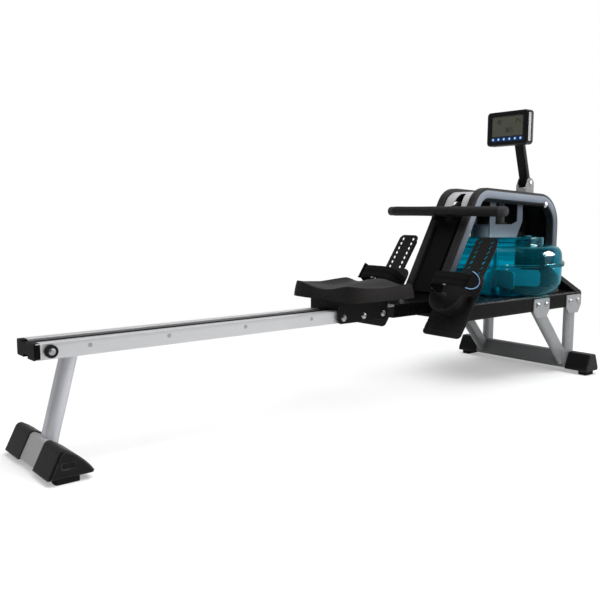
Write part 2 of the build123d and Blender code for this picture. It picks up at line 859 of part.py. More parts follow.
# The strap leaves the handle's middle, rises to the idler, runs over it and twists on to the drum
strap_roll = idler_radius + strap_gap + strap_thickness / 2
strap_span = hypot(idler_x - handle_x, idler_z - handle_z)
strap_pitch = atan2(idler_z - handle_z, idler_x - handle_x) + asin(strap_roll / strap_span)


def make_strap():
    along = Vector(cos(strap_pitch), 0, sin(strap_pitch))
    square = Vector(-sin(strap_pitch), 0, cos(strap_pitch))
    bar_centre = Vector(handle_x, 0, handle_z)
    meet = Vector(idler_x, 0, idler_z) + square * strap_roll
    start = bar_centre + along * shackle_reach
    run = (meet - start).length
    section = Rectangle(strap_width, strap_thickness)
    plane = Plane(origin=tuple(start), x_dir=(0, 1, 0), z_dir=tuple(along))
    parts["pull_strap"] = extrude(plane * section, run)

    drum_side = drum_core_radius + strap_gap + strap_thickness / 2
    drum_mid = (drum_bottom + drum_top) / 2
    near_drum = Vector(tank_x - drum_radius - strap_side_gap, drum_side, drum_mid)
    drop = idler_z - drum_mid
    ahead = near_drum.X - idler_x
    leave = asin(strap_roll / hypot(drop, ahead)) + atan2(drop, ahead)
    down = Vector(cos(leave), 0, -sin(leave))
    inner = idler_radius + strap_gap
    ring = rod_y(idler_x, idler_z, inner + strap_thickness, -strap_width / 2, strap_width / 2)
    ring -= rod_y(idler_x, idler_z, inner, -strap_width / 2, strap_width / 2)
    beyond = 2 * (inner + strap_thickness)
    for direction in (along * -1, down):
        hub = Plane(origin=(idler_x, 0, idler_z), x_dir=(0, 1, 0), z_dir=tuple(direction))
        ring -= hub * (Pos(0, 0, beyond / 2) * Box(beyond, beyond, beyond))
    wrap = ring.solids().sort_by(Axis.Z)[-1]
    off_idler = Vector(idler_x + strap_roll * sin(leave), 0, idler_z + strap_roll * cos(leave))
    clear = off_idler + down * (idler_radius + 2 * idler_rim)
    stations = [(off_idler, 0), (clear, 0)]
    for step in range(1, strap_twist_steps + 1):
        share = step / strap_twist_steps
        stations.append((clear + (near_drum - clear) * share, 90 * share))
    stations.append((Vector(tank_x, drum_side, drum_mid), 90))
    sections = []
    for place, angle in stations:
        twist = radians(angle)
        pitch = leave * (1 - angle / 90)
        forward = (cos(pitch), 0, -sin(pitch))
        across = (sin(pitch) * sin(twist), cos(twist), cos(pitch) * sin(twist))
        plane = Plane(origin=tuple(place), x_dir=across, z_dir=forward)
        sections.append(plane * section)
    run = loft(sections, ruled=True)
    parts["inner_strap"] = wrap + run


# Handle

def make_handle():
    half = handle_length / 2
    handle = rod_y(handle_x, handle_z, handle_core_radius, -half, half)
    grip_end = half - handle_cap_length
    grip = rod_y(handle_x, handle_z, grip_radius, shackle_width / 2, grip_end)
    grip -= rod_y(handle_x, handle_z, handle_core_radius, shackle_width / 2, grip_end)
    parts["handle_grips"] = both_sides(grip)
    cap = rod_y(handle_x, handle_z, handle_cap_radius, grip_end, half)
    cap = chamfer(cap.edges().filter_by(GeomType.CIRCLE).sort_by(Axis.Y)[-1], handle_cap_edge)
    for end in both_sides(cap):
        handle += end
    bore_half = half - 2 * handle_wall
    handle -= rod_y(handle_x, handle_z, handle_core_radius - handle_wall, -bore_half, bore_half)
    parts["handle_bar"] = handle

    ring = rod_y(handle_x, handle_z, shackle_radius, -shackle_width / 2, shackle_width / 2)
    plane = Plane(origin=(handle_x, 0, handle_z), x_dir=(cos(strap_pitch), 0, sin(strap_pitch)),
                  z_dir=(-sin(strap_pitch), 0, cos(strap_pitch)))
    tab = outline([(0, -shackle_width / 2), (shackle_reach, -strap_width / 2 - shackle_lip),
                   (shackle_reach, strap_width / 2 + shackle_lip), (0, shackle_width / 2)], 0)
    ring += extrude(plane * tab, shackle_thickness / 2, both=True)
    ring -= rod_y(handle_x, handle_z, handle_core_radius, -shackle_width / 2, shackle_width / 2)
    parts["strap_shackle"] = ring

    shelf_top = handle_z - grip_radius - strap_gap
    rest_rear = handle_x - rest_reach
    rest_outer = rest_half_gap + rest_width
    shelf = block(rest_rear, rest_rear + rest_depth, rest_half_gap, rest_outer,
                  shelf_top - rest_height, shelf_top)
    shelf -= slab(arch_band(cover_inset, arch_band_width), rest_half_gap, rest_outer)
    parts["handle_rest"] = both_sides(shelf)


# Seat: each station gives a share of the depth and of the half width, then the heights of the
# side crest, the hollow and the middle as shares of the seat's thickness
seat_stations = (
    (0.00, 0.90, 0.86, 0.62, 0.56),
    (0.04, 0.97, 0.96, 0.66, 0.60),
    (0.35, 1.00, 1.00, 0.62, 0.70),
    (0.65, 1.00, 0.96, 0.66, 0.90),
    (0.88, 0.985, 0.86, 0.72, 0.98),
    (0.97, 0.95, 0.74, 0.70, 0.90),
    (1.00, 0.88, 0.60, 0.60, 0.70),
)


def seat_section(depth_share, width_share, crest, hollow, middle):
    half = seat_width / 2 * width_share
    lip = seat_lip_share * half
    low = seat_under
    inward = seat_hollow_share * half
    points = [(half, low), (lip, low + seat_crest * crest), (inward, low + seat_crest * hollow),
              (0, low + seat_crest * middle)]
    right = [Line(points[0], points[1]), ThreePointArc(points[1], points[2], points[3])]
    flip = [(-y, z) for y, z in points]
    left = [ThreePointArc(flip[3], flip[2], flip[1]), Line(flip[1], flip[0])]
    face = make_face(right + left + [Line(flip[0], points[0])])
    plane = Plane(origin=(seat_rear + seat_depth * depth_share, 0, 0), x_dir=(0, 1, 0), z_dir=(1, 0, 0))
    return plane * face


def make_seat():
    parts["seat_pad"] = loft([seat_section(*station) for station in seat_stations])
    side_in = rail_half + carriage_side_gap
    side_out = side_in + carriage_plate
    front = carriage_rear + carriage_length
    low = rail_top - carriage_drop
    axle_z = rail_top + roller_gap + roller_radius
    side = block(carriage_rear, front, side_in, side_out, low, seat_under)
    low_corners = side.edges().filter_by(Axis.Y).group_by(Axis.Z)[0]
    side = fillet(low_corners, carriage_corner)
    carriage = block(carriage_rear, front, -side_in, side_in, seat_under - carriage_plate, seat_under)
    for plate in both_sides(side):
        carriage += plate
    skirt = rail_top + carriage_end_gap
    for x in (carriage_rear, front - carriage_plate):
        carriage += block(x, x + carriage_plate, -side_in, side_in, skirt, seat_under - carriage_plate)
    axles = []
    for name, x in (("rear_rollers", carriage_rear + roller_inset), ("front_rollers", front - roller_inset)):
        axles.append(rod_y(x, axle_z, roller_axle_radius, -side_in, side_in))
        wheel_in = chamber_middle() - roller_width / 2
        wheel = rod_y(x, axle_z, roller_radius, wheel_in, wheel_in + roller_width)
        wheel = chamfer(wheel.edges().filter_by(GeomType.CIRCLE), roller_edge)
        wheel -= rod_y(x, axle_z, roller_axle_radius + running_clearance, 0, side_in)
        parts[name] = both_sides(wheel)
    middle = carriage_rear + carriage_length / 2
    bolts = []
    glides = []
    for step in (-1, 0, 1):
        x = middle + step * carriage_bolt_spacing
        bolt = hexagon_y(x, carriage_bolt_height, carriage_bolt_radius, side_out, side_out + bolt_head_height)
        bolts += both_sides(bolt)
        glides += both_sides(rod_y(x, carriage_bolt_height, glide_radius, rail_half + glide_gap, side_in))
    parts["seat_carriage"] = carriage
    parts["seat_hardware"] = axles + bolts + glides


# Footrests: drawn flat on the sloping board, with x up the board, y across and z towards the rower

def foot_plane(y):
    slope = radians(foot_angle)
    up_board = (cos(slope), 0, sin(slope))
    off_board = (-sin(slope), 0, cos(slope))
    return Plane(origin=(heel_x, y, heel_z), x_dir=up_board, z_dir=off_board)


def make_footrests():
    place = foot_plane(board_middle)
    top = board_bottom + board_length
    half = board_width / 2
    sheet = outline([(board_bottom, -half), (top, -half), (top, half), (board_bottom, half)],
                    [board_low_corner, board_corner, board_corner, board_low_corner])
    tip, side = board_hole_length / 2, board_hole_width / 2
    flat = tip - side
    hole = outline([(tip, 0), (flat, side), (-flat, side), (-tip, 0), (-flat, -side), (flat, -side)], 0)
    hole = Rot(0, 0, board_hole_turn) * hole
    for row in range(board_holes):
        for column in (-1, 1):
            x = top - board_hole_margin - row * board_hole_pitch
            sheet -= Pos(x, column * board_hole_columns / 2) * hole
    board = extrude(place * sheet, -board_thickness)
    deep = -board_wall_depth
    high = top - board_corner
    for low, edge in ((board_bottom, half - board_wall), (board_inner_wall_from, -half)):
        face = outline([(low, 0), (high, 0), (board_wall_to, deep), (low, deep)], 0)
        upright = Plane(origin=(0, edge, 0), x_dir=(1, 0, 0), z_dir=(0, -1, 0)) * face
        wall = extrude(upright, board_wall, dir=(0, 1, 0))
        board += place * wall
    parts["foot_boards"] = both_sides(board)

    middle = beam_outer - beam_width / 2
    half_bracket = foot_bracket_width / 2
    bracket = block(heel_x, beam_rear + foot_bracket_plug, middle - half_bracket, middle + half_bracket,
                    beam_bottom + beam_wall, beam_top - beam_wall)
    face_side = place * (Pos(board_length / 2, 0, board_length / 2 - board_thickness) * Box(
        3 * board_length, 4 * board_width, board_length))
    parts["foot_brackets"] = both_sides(bracket - face_side)

    place = foot_plane(cradle_middle)
    wide = cradle_foot_width / 2
    toe = cradle_toe_width / 2
    strap_edge = foot_strap_half - foot_strap_thickness
    strap_high = foot_strap_low + foot_strap_width
    sole = outline(
        [(0, -wide), (0, wide), (cradle_flare, wide), (foot_strap_low, strap_edge), (strap_high, strap_edge),
         (cradle_length, toe), (cradle_length, -toe), (strap_high, -strap_edge),
         (foot_strap_low, -strap_edge), (cradle_flare, -wide)],
        [cradle_heel_corner, cradle_heel_corner, cradle_flare_radius, 0, 0, cradle_toe_corner,
         cradle_toe_corner, 0, 0, cradle_flare_radius])
    sole_low = cradle_gap
    cradle = extrude(place * (Pos(0, 0, sole_low) * sole), cradle_thickness)
    bend = cup_low + cup_radius
    outer = make_face([Line((bend + cup_length, cup_radius), (bend, cup_radius)),
                       ThreePointArc((bend, cup_radius), (cup_low, 0), (bend, -cup_radius)),
                       Line((bend, -cup_radius), (bend + cup_length, -cup_radius)),
                       Line((bend + cup_length, -cup_radius), (bend + cup_length, cup_radius))])
    inner_radius = cup_radius - cup_wall
    inner = make_face([Line((bend + cup_length, inner_radius), (bend, inner_radius)),
                       ThreePointArc((bend, inner_radius), (cup_low + cup_wall, 0), (bend, -inner_radius)),
                       Line((bend, -inner_radius), (bend + cup_length, -inner_radius)),
                       Line((bend + cup_length, -inner_radius), (bend + cup_length, inner_radius))])
    sole_top = sole_low + cradle_thickness
    wall = extrude(place * (Pos(0, 0, sole_top) * (outer - inner)), cup_height)
    run_out = outline([(bend, cup_height + 1), (bend + cup_length + 1, cup_height + 1),
                       (bend + cup_length + 1, cup_run_out)], 0)
    cutter = Plane(origin=(0, -cup_radius - 1, sole_top), x_dir=(1, 0, 0), z_dir=(0, -1, 0)) * run_out
    wall -= place * extrude(cutter, 2 * cup_radius + 2, dir=(0, 1, 0))
    left, right = both_sides(cradle + wall)
    parts["heel_cradle_left"] = left
    parts["heel_cradle_right"] = right

    arch_points = []
    for half_span, rise in ((foot_strap_half, foot_strap_rise),
                            (strap_edge, foot_strap_rise - foot_strap_thickness)):
        knee = (foot_strap_knee_share * half_span, sole_top + foot_strap_knee_rise_share * (rise - sole_top))
        crown = (0, rise)
        arch_points.append((half_span, knee, crown))
    edges = []
    for half_span, knee, crown in arch_points:
        flip = (-knee[0], knee[1])
        edges.append([Line((half_span, sole_low), knee), ThreePointArc(knee, crown, flip),
                      Line(flip, (-half_span, sole_low))])
    outer_half, inner_half = arch_points[0][0], arch_points[1][0]
    loop = edges[0] + [Line((-outer_half, sole_low), (-inner_half, sole_low))] + edges[1] + [
        Line((inner_half, sole_low), (outer_half, sole_low))]
    face = make_face(loop)
    upright = Plane(origin=(foot_strap_low, 0, 0), x_dir=(0, 1, 0), z_dir=(1, 0, 0)) * face
    strap = place * extrude(upright, foot_strap_width)
    strap -= cradle
    strap = max(strap.solids(), key=lambda solid: solid.volume)
    left, right = both_sides(strap)
    parts["foot_strap_left"] = left
    parts["foot_strap_right"] = right


# Console, mast and clevis

def mast_plane():
    lean = radians(mast_lean)
    return Plane(origin=(pivot_x, 0, pivot_z), x_dir=(0, 1, 0), z_dir=(-sin(lean), 0, cos(lean)))


def make_console():
    hole = pivot_radius + running_clearance
    half = mast_width / 2
    tube = extrude(mast_plane() * RectangleRounded(mast_width, mast_depth, mast_edge_radius), mast_length)
    bore_width, bore_depth = mast_width - 2 * mast_wall, mast_depth - 2 * mast_wall
    bore = RectangleRounded(bore_width, bore_depth, mast_edge_radius - mast_wall)
    tube -= extrude(mast_plane() * bore, mast_length - mast_wall)
    mast = tube + rod_y(pivot_x, pivot_z, mast_foot_radius, -half, half)
    mast -= rod_y(pivot_x, pivot_z, hole, -half, half)
    parts["console_mast"] = mast

    ear_in = half + ear_gap
    ear_out = ear_in + ear_thickness
    cover = arch_corners(cover_inset)
    fall = tan(radians(arch_fall))
    rear = pivot_x - ear_depth / 2
    front = pivot_x + ear_depth / 2
    seat_rear_z = cover[1][1] - (rear - cover[1][0]) * fall
    seat_front_z = cover[1][1] - (front - cover[1][0]) * fall
    ear_top = pivot_z + ear_rise
    ear = outline([(rear, seat_rear_z), (front, seat_front_z), (front, pivot_z),
                   (pivot_x + ear_flat / 2, ear_top), (pivot_x - ear_flat / 2, ear_top),
                   (rear, pivot_z - ear_drop)], [0, 0] + 4 * [ear_corner])
    floor = outline([(rear, seat_rear_z), (front, seat_front_z), (front, seat_front_z + ear_thickness),
                     (rear, seat_rear_z + ear_thickness)], 0)
    clevis = slab(floor, -ear_in, ear_in)
    clevis += block(rear, rear + ear_thickness, -ear_in, ear_in, seat_rear_z, seat_rear_z + clevis_wall)
    ear_solid = slab(ear, ear_in, ear_out) - rod_y(pivot_x, pivot_z, pivot_radius, ear_in, ear_out)
    for solid in both_sides(ear_solid):
        clevis += solid
    parts["mast_clevis"] = clevis
    pivot = rod_y(pivot_x, pivot_z, pivot_radius, -ear_out, ear_out)
    pivot += rod_y(pivot_x, pivot_z, pivot_head_radius, ear_out, ear_out + bolt_head_height)
    pivot += hexagon_y(pivot_x, pivot_z, pivot_nut_radius, -ear_out - bolt_head_height, -ear_out)

    middle_z = console_bottom + console_height / 2
    plate = Pos(0, middle_z) * RectangleRounded(console_width, console_height, console_corner)
    shell_back = console_front + front_shell_depth
    shell = bar(plate, console_front, shell_back)
    shell = fillet(shell.faces().sort_by(Axis.X)[0].edges(), console_front_edge)
    lens_z = console_bottom + console_height - lens_top_margin - lens_height / 2
    lens = Pos(0, lens_z) * RectangleRounded(lens_width, lens_height, lens_corner)
    lens_floor = console_front + lens_sink + lens_thickness
    shell -= bar(lens, console_front, lens_floor)
    parts["console_lens"] = bar(lens, console_front + lens_sink, lens_floor)
    button_z = console_bottom + button_height
    for index in range(button_count):
        y = (button_count - 1) / 2 * button_pitch - index * button_pitch
        well_depth = button_depth - button_stand + button_travel + button_gap
        shell -= rod((console_front, y, button_z), (1, 0, 0), button_radius + button_gap, well_depth)
        button = rod((console_front - button_stand, y, button_z), (1, 0, 0), button_radius, button_depth)
        button = chamfer(button.edges().filter_by(GeomType.CIRCLE).sort_by(Axis.X)[0], button_edge)
        parts[f"button_{index + 1}"] = button
    cavity = Pos(0, middle_z) * RectangleRounded(
        console_width - 2 * shell_wall, console_height - 2 * shell_wall, console_corner - shell_wall)
    parts["console_front_shell"] = shell - bar(cavity, console_front + shell_face, shell_back)
    rear_end = shell_back + rear_shell_depth
    back = bar(plate, shell_back, rear_end)
    back = fillet(back.faces().sort_by(Axis.X)[-1].edges(), console_rear_edge)
    back -= bar(offset(cavity, -shell_wall), shell_back, rear_end - shell_wall)
    lean = radians(mast_lean)
    boss_points = []
    for z in (middle_z - boss_height / 2, middle_z + boss_height / 2):
        mast_face = pivot_x - (z - pivot_z) * tan(lean) - mast_depth / 2 / cos(lean)
        boss_points.append([(rear_end, z), (mast_face, z)])
    boss = slab(outline(boss_points[0] + boss_points[1][::-1], 0), -boss_width / 2, boss_width / 2)
    parts["console_rear_shell"] = back + boss
    return pivot


# Bolts of the frame: one node of separate solids

def make_frame_bolts(bolts):
    middle_z = rail_top - rail_height / 2
    bolts += rail_screws(rail_half - rail_screw_sink)
    outer = rail_half + stop_thickness
    stop = rod_y(stop_x, middle_z, stop_bolt_radius, rail_half, outer)
    stop += hexagon_y(stop_x, middle_z, stop_nut_radius, outer, outer + bolt_head_height)
    bolts += both_sides(stop)
    parts["frame_bolts"] = bolts


def build():
    make_rail()
    caps, pads = make_rear_foot()
    plate_bolts = make_front_stand(caps, pads)
    make_base()
    arch_bolts = make_arch()
    make_tank()
    make_impeller()
    axle = make_drive()
    make_strap()
    make_handle()
    make_seat()
    make_footrests()
    pivot = make_console()
    make_frame_bolts(plate_bolts + arch_bolts + [pivot, axle])


def write():
    os.makedirs("parts", exist_ok=True)
    rear_end = rear_foot_outline().bounding_box().min.X
    shift = Pos(-(rear_end + arch_front) / 2, 0, 0)
    for name, piece in parts.items():
        solids = []
        for item in piece if isinstance(piece, list) else [piece]:
            solids += list(item.solids())
        moved = [shift * solid for solid in solids]
        export_step(moved[0] if len(moved) == 1 else Compound(children=moved), f"parts/{name}.step")


build()
write()
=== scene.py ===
import bmesh
import bpy
import json
import numpy as np
from mathutils import Matrix, Vector


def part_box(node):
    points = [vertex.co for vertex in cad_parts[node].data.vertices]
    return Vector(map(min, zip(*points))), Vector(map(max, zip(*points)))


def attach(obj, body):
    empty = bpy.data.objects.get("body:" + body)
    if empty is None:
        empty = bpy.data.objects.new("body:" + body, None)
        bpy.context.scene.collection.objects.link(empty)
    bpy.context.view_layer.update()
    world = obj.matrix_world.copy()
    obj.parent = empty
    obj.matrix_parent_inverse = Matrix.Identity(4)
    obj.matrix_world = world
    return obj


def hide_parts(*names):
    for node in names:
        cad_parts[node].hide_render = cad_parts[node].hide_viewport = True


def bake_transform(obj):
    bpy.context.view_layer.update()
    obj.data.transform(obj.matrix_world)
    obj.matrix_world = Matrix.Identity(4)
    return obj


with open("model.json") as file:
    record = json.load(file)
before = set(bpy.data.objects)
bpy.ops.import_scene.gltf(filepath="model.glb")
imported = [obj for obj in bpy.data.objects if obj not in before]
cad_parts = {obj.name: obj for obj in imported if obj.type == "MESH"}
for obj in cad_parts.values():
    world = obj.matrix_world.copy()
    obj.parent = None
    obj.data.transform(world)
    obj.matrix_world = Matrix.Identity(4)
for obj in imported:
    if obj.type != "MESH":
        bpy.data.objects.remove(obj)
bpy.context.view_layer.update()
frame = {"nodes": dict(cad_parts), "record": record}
nodes = frame["nodes"]
railLow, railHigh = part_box("seat_rail")
print("frame loaded:", len(nodes), "nodes")


# shader helpers

def rgb(red, green, blue):
    return (red, green, blue, 1.0)


def fill(tree, sockets, values):  # a value is set on its socket, and another node's socket is linked to it
    for key, value in values.items():
        if isinstance(value, bpy.types.NodeSocket):
            tree.links.new(value, sockets[key])
        else:
            sockets[key].default_value = value


def addNode(tree, kind, inputs=None, **settings):  # a new node's outputs; its inputs are set or linked
    made = tree.nodes.new("ShaderNode" + kind)
    for key, value in settings.items():
        setattr(made, key, value)
    fill(tree, made.inputs, inputs or {})
    return made.outputs


def addMath(tree, operation, *values):
    return addNode(tree, "Math", dict(enumerate(values)), operation=operation)[0]


def addNoise(tree, spot, scale, detail, roughness=0.5):
    inputs = {"Vector": spot, "Scale": scale, "Detail": detail, "Roughness": roughness}
    return addNode(tree, "TexNoise", inputs)["Fac"]


def objectSpot(tree):
    return addNode(tree, "TexCoord")["Object"]


def spotParts(tree):  # X, Y and Z of the place on a piece
    return addNode(tree, "SeparateXYZ", {0: objectSpot(tree)})


def mixTones(tree, share, first, second):
    return addNode(tree, "Mix", {0: share, 6: first, 7: second}, data_type="RGBA")[2]


def easeOver(tree, value, start, end, low=0.0, high=1.0):  # value from start to end gives low to high, eased
    return addNode(tree, "MapRange", {0: value, 1: start, 2: end, 3: low, 4: high},
                   interpolation_type="SMOOTHSTEP")[0]


def roundEdges(tree, radius, samples=4):  # the normal that the piece has with rounded edges
    return addNode(tree, "Bevel", {"Radius": radius}, samples=samples)[0]


def newGroup(name, inputs, outputs):  # an empty node group with named sockets
    tree = bpy.data.node_groups.new(name, "ShaderNodeTree")
    for label, kind, value in inputs:
        socket = tree.interface.new_socket(name=label, in_out="INPUT", socket_type="NodeSocket" + kind)
        if value is not None:
            socket.default_value = value
    for label, kind in outputs:
        tree.interface.new_socket(name=label, in_out="OUTPUT", socket_type="NodeSocket" + kind)
    return tree, tree.nodes.new("NodeGroupInput").outputs, tree.nodes.new("NodeGroupOutput").inputs


def surfaceOut(tree, given, out, height, drift, distance):  # height gives the bump and drift the gloss
    shift = addMath(tree, "SUBTRACT", drift, 0.5)
    swing = addMath(tree, "MULTIPLY_ADD", shift, given["Spread"], given["Gloss"])
    bump = addNode(tree, "Bump", {"Strength": given["Depth"], "Distance": distance, "Height": height,
                                  "Normal": given["Rounded"]})[0]
    fill(tree, out, {"Roughness": swing, "Normal": bump})
    return tree


def mouldGrain():  # fine spark-eroded grain of moulded plastic: a noise as bump, a slow one as gloss changes
    tree, given, out = newGroup(
        "mouldGrain",
        [("Rounded", "Vector", None), ("Scale", "Float", 900.0), ("Depth", "Float", 0.15),
         ("Gloss", "Float", 0.45), ("Spread", "Float", 0.12)],
        [("Roughness", "Float"), ("Normal", "Vector")])
    spot = objectSpot(tree)
    fine = addNoise(tree, spot, given["Scale"], detail=3.0)
    broad = addNoise(tree, spot, scale=24.0, detail=4.0)
    return surfaceOut(tree, given, out, fine, broad, distance=0.0004)


def drawLines():  # long fine lines left by extruding or brushing: noise stretched along one way
    tree, given, out = newGroup(
        "drawLines",
        [("Rounded", "Vector", None), ("Stretch", "Vector", (3.0, 900.0, 900.0)), ("Depth", "Float", 0.1),
         ("Gloss", "Float", 0.35), ("Spread", "Float", 0.2)],
        [("Roughness", "Float"), ("Normal", "Vector")])
    laid = addNode(tree, "VectorMath", {0: objectSpot(tree), 1: given["Stretch"]}, operation="MULTIPLY")[0]
    lines = addNoise(tree, laid, scale=1.0, detail=4.0)
    return surfaceOut(tree, given, out, lines, lines, distance=0.0002)


def tintDrift():  # slow drift between two tones
    tree, given, out = newGroup(
        "tintDrift",
        [("First", "Color", rgb(0.5, 0.5, 0.5)), ("Second", "Color", rgb(0.6, 0.6, 0.6)),
         ("Scale", "Float", 12.0)],
        [("Color", "Color")])
    slow = addNoise(tree, objectSpot(tree), given["Scale"], detail=6.0, roughness=0.65)
    fill(tree, out, {"Color": mixTones(tree, slow, given["First"], given["Second"])})
    return tree


def edgeWearAndHighlight():  # edges painted lighter, partly as wear and partly as painted highlight: where the rounded normal leaves the true one, broken up by noise
    tree, given, out = newGroup(
        "edgeWearAndHighlight",
        [("Rounded", "Vector", None), ("Color", "Color", rgb(0.5, 0.5, 0.5)),
         ("Rubbed", "Color", rgb(0.6, 0.6, 0.6)), ("Amount", "Float", 0.5)],
        [("Color", "Color")])
    plain = addNode(tree, "NewGeometry")["Normal"]
    along = addNode(tree, "VectorMath", {0: plain, 1: given["Rounded"]}, operation="DOT_PRODUCT")["Value"]
    bend = addNode(tree, "MapRange", {0: along, 1: 0.995, 2: 0.86})[0]
    patch = addNoise(tree, objectSpot(tree), scale=70.0, detail=5.0)
    broken = addNode(tree, "MapRange", {0: patch, 1: 0.3, 2: 0.62})[0]
    share = addMath(tree, "MULTIPLY", addMath(tree, "MULTIPLY", bend, broken), given["Amount"])
    fill(tree, out, {"Color": mixTones(tree, share, given["Color"], given["Rubbed"])})
    return tree


def heightFade():  # two tones that change over between two heights
    tree, given, out = newGroup(
        "heightFade",
        [("Low", "Color", rgb(0.3, 0.3, 0.3)), ("High", "Color", rgb(0.5, 0.5, 0.5)), ("From", "Float", 0.3),
         ("To", "Float", 0.7)],
        [("Color", "Color")])
    share = easeOver(tree, spotParts(tree)["Z"], given["From"], given["To"])
    fill(tree, out, {"Color": mixTones(tree, share, given["Low"], given["High"])})
    return tree


def webWeave():  # webbing: cords along the band and picks across it, as two crossed waves on the piece's UV
    tree, given, out = newGroup(
        "webWeave",
        [("Cords", "Float", 9.0), ("Picks", "Float", 400.0), ("Depth", "Float", 0.6)],
        [("Mask", "Float"), ("Normal", "Vector")])
    flow = addNode(tree, "SeparateXYZ", {0: addNode(tree, "TexCoord")["UV"]})
    around = addMath(tree, "MULTIPLY", flow["Y"], given["Cords"])
    lean = addMath(tree, "MULTIPLY_ADD", flow["Y"], given["Cords"],
                   addMath(tree, "MULTIPLY", flow["X"], given["Picks"]))
    cords, picks = (addMath(tree, "ABSOLUTE", addMath(tree, "SINE", wave)) for wave in (around, lean))
    height = addMath(tree, "MULTIPLY", cords, addMath(tree, "MULTIPLY_ADD", picks, 0.5, 0.5))
    bump = addNode(tree, "Bump", {"Strength": given["Depth"], "Distance": 0.0006, "Height": height})[0]
    fill(tree, out, {"Mask": height, "Normal": bump})
    return tree


grainGroup = mouldGrain()
tintGroup = tintDrift()
wearHighlightGroup = edgeWearAndHighlight()
linesGroup = drawLines()
fadeGroup = heightFade()
weaveGroup = webWeave()


def put(tree, group, **values):  # a group in a material, with this material's own values and links
    return addNode(tree, "Group", values, node_tree=group)


def driftTone(tree, first, second, scale=12.0):
    return put(tree, tintGroup, First=rgb(*first), Second=rgb(*second), Scale=scale)["Color"]


# mixes in the edges painted lighter, as wear and as painted highlight
def wearHighlightTone(tree, rounded, tone, edgeWearHighlight, amount):
    return put(tree, wearHighlightGroup, Rounded=rounded, Color=tone, Rubbed=rgb(*edgeWearHighlight), Amount=amount)["Color"]


def fadeTone(tree, low, high, start, end):
    return put(tree, fadeGroup, Low=rgb(*low), High=rgb(*high), From=start, To=end)["Color"]


def grainOf(tree, rounded, scale, depth, gloss, spread):
    return put(tree, grainGroup, Rounded=rounded, Scale=scale, Depth=depth, Gloss=gloss, Spread=spread)


def linesOf(tree, rounded, stretch, depth, gloss, spread):
    return put(tree, linesGroup, Rounded=rounded, Stretch=stretch, Depth=depth, Gloss=gloss, Spread=spread)


def newMaterial(name, shine=0.5, **plain):  # a Principled material; plain values are set on the shader itself
    made = bpy.data.materials.new(name)
    made.use_nodes = True
    shader = made.node_tree.nodes["Principled BSDF"].inputs
    fill(made.node_tree, shader, {"Specular IOR Level": shine, **plain})
    return made, made.node_tree, shader


def dress(tree, shader, tone, surface):  # colour from a tone, gloss and normal from a grain or its lines
    fill(tree, shader, {"Base Color": tone, "Roughness": surface["Roughness"], "Normal": surface["Normal"]})


def moulded(name, first, second, gloss=0.45, spread=0.12, depth=0.15, scale=900.0, drift=12.0, edge=0.0015,
            edgeWearHighlight=None, amount=0.6, shine=0.5, **plain):  # a grained finish, with edges painted lighter as wear and as painted highlight if asked
    made, tree, shader = newMaterial(name, shine, **plain)
    rounded = roundEdges(tree, edge)
    tone = driftTone(tree, first, second, drift)
    if edgeWearHighlight:
        tone = wearHighlightTone(tree, rounded, tone, edgeWearHighlight, amount)
    dress(tree, shader, tone, grainOf(tree, rounded, scale, depth, gloss, spread))
    return made


def boltMetal():  # bright steel with fine brushed lines
    made, tree, shader = newMaterial("boltSteel", Metallic=1.0)
    lines = linesOf(tree, roundEdges(tree, radius=0.001), stretch=(300.0, 900.0, 900.0), depth=0.08,
                    gloss=0.32, spread=0.2)
    dress(tree, shader, driftTone(tree, (0.50, 0.50, 0.51), (0.60, 0.60, 0.61), scale=9.0), lines)
    return made


# low and post are painted shade, high is painted light; the pale edge colour is a painted highlight
archTones = dict(low=(0.018, 0.025, 0.038), high=(0.26, 0.295, 0.35), post=(0.12, 0.145, 0.175),
                 edgeWearHighlight=(0.6, 0.6, 0.62), fadeReach=0.38, postFrom=0.050, postTo=0.015, edge=0.002)


def archPaintAndShade():  # satin grey-blue paint with painted light and shade: painted light makes it paler at the arch's top, painted shade darker down the rear leg and on the front post
    made, tree, shader = newMaterial("facePaintAndShade", shine=0.25)
    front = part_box("arch_panels")[1].x
    rounded = roundEdges(tree, archTones["edge"])
    # painted shade low on the arch, easing into painted light at its top
    tone = fadeTone(tree, archTones["low"], archTones["high"], railHigh.z,
                    railHigh.z + archTones["fadeReach"])
    # painted shade on the front post
    post = easeOver(tree, spotParts(tree)["X"], front - archTones["postFrom"], front - archTones["postTo"])
    tone = mixTones(tree, post, tone, rgb(*archTones["post"]))
    # the face's edges painted pale, a painted highlight
    tone = wearHighlightTone(tree, rounded, tone, archTones["edgeWearHighlight"], amount=0.5)
    dress(tree, shader, tone, grainOf(tree, rounded, scale=1600.0, depth=0.05, gloss=0.45, spread=0.08))
    return made


# low and high: painted reflection and shade down the side; top: painted light on faces turned up
railTones = dict(low=(0.87, 0.875, 0.89), high=(0.71, 0.715, 0.73), top=(0.88, 0.885, 0.90),
                 sleeve=(0.006, 0.006, 0.006), fadeFrom=0.026, fadeTo=0.002, facing=0.7, sleeveReach=0.050,
                 sleeveDrop=0.006, metallic=0.75, edge=0.003)


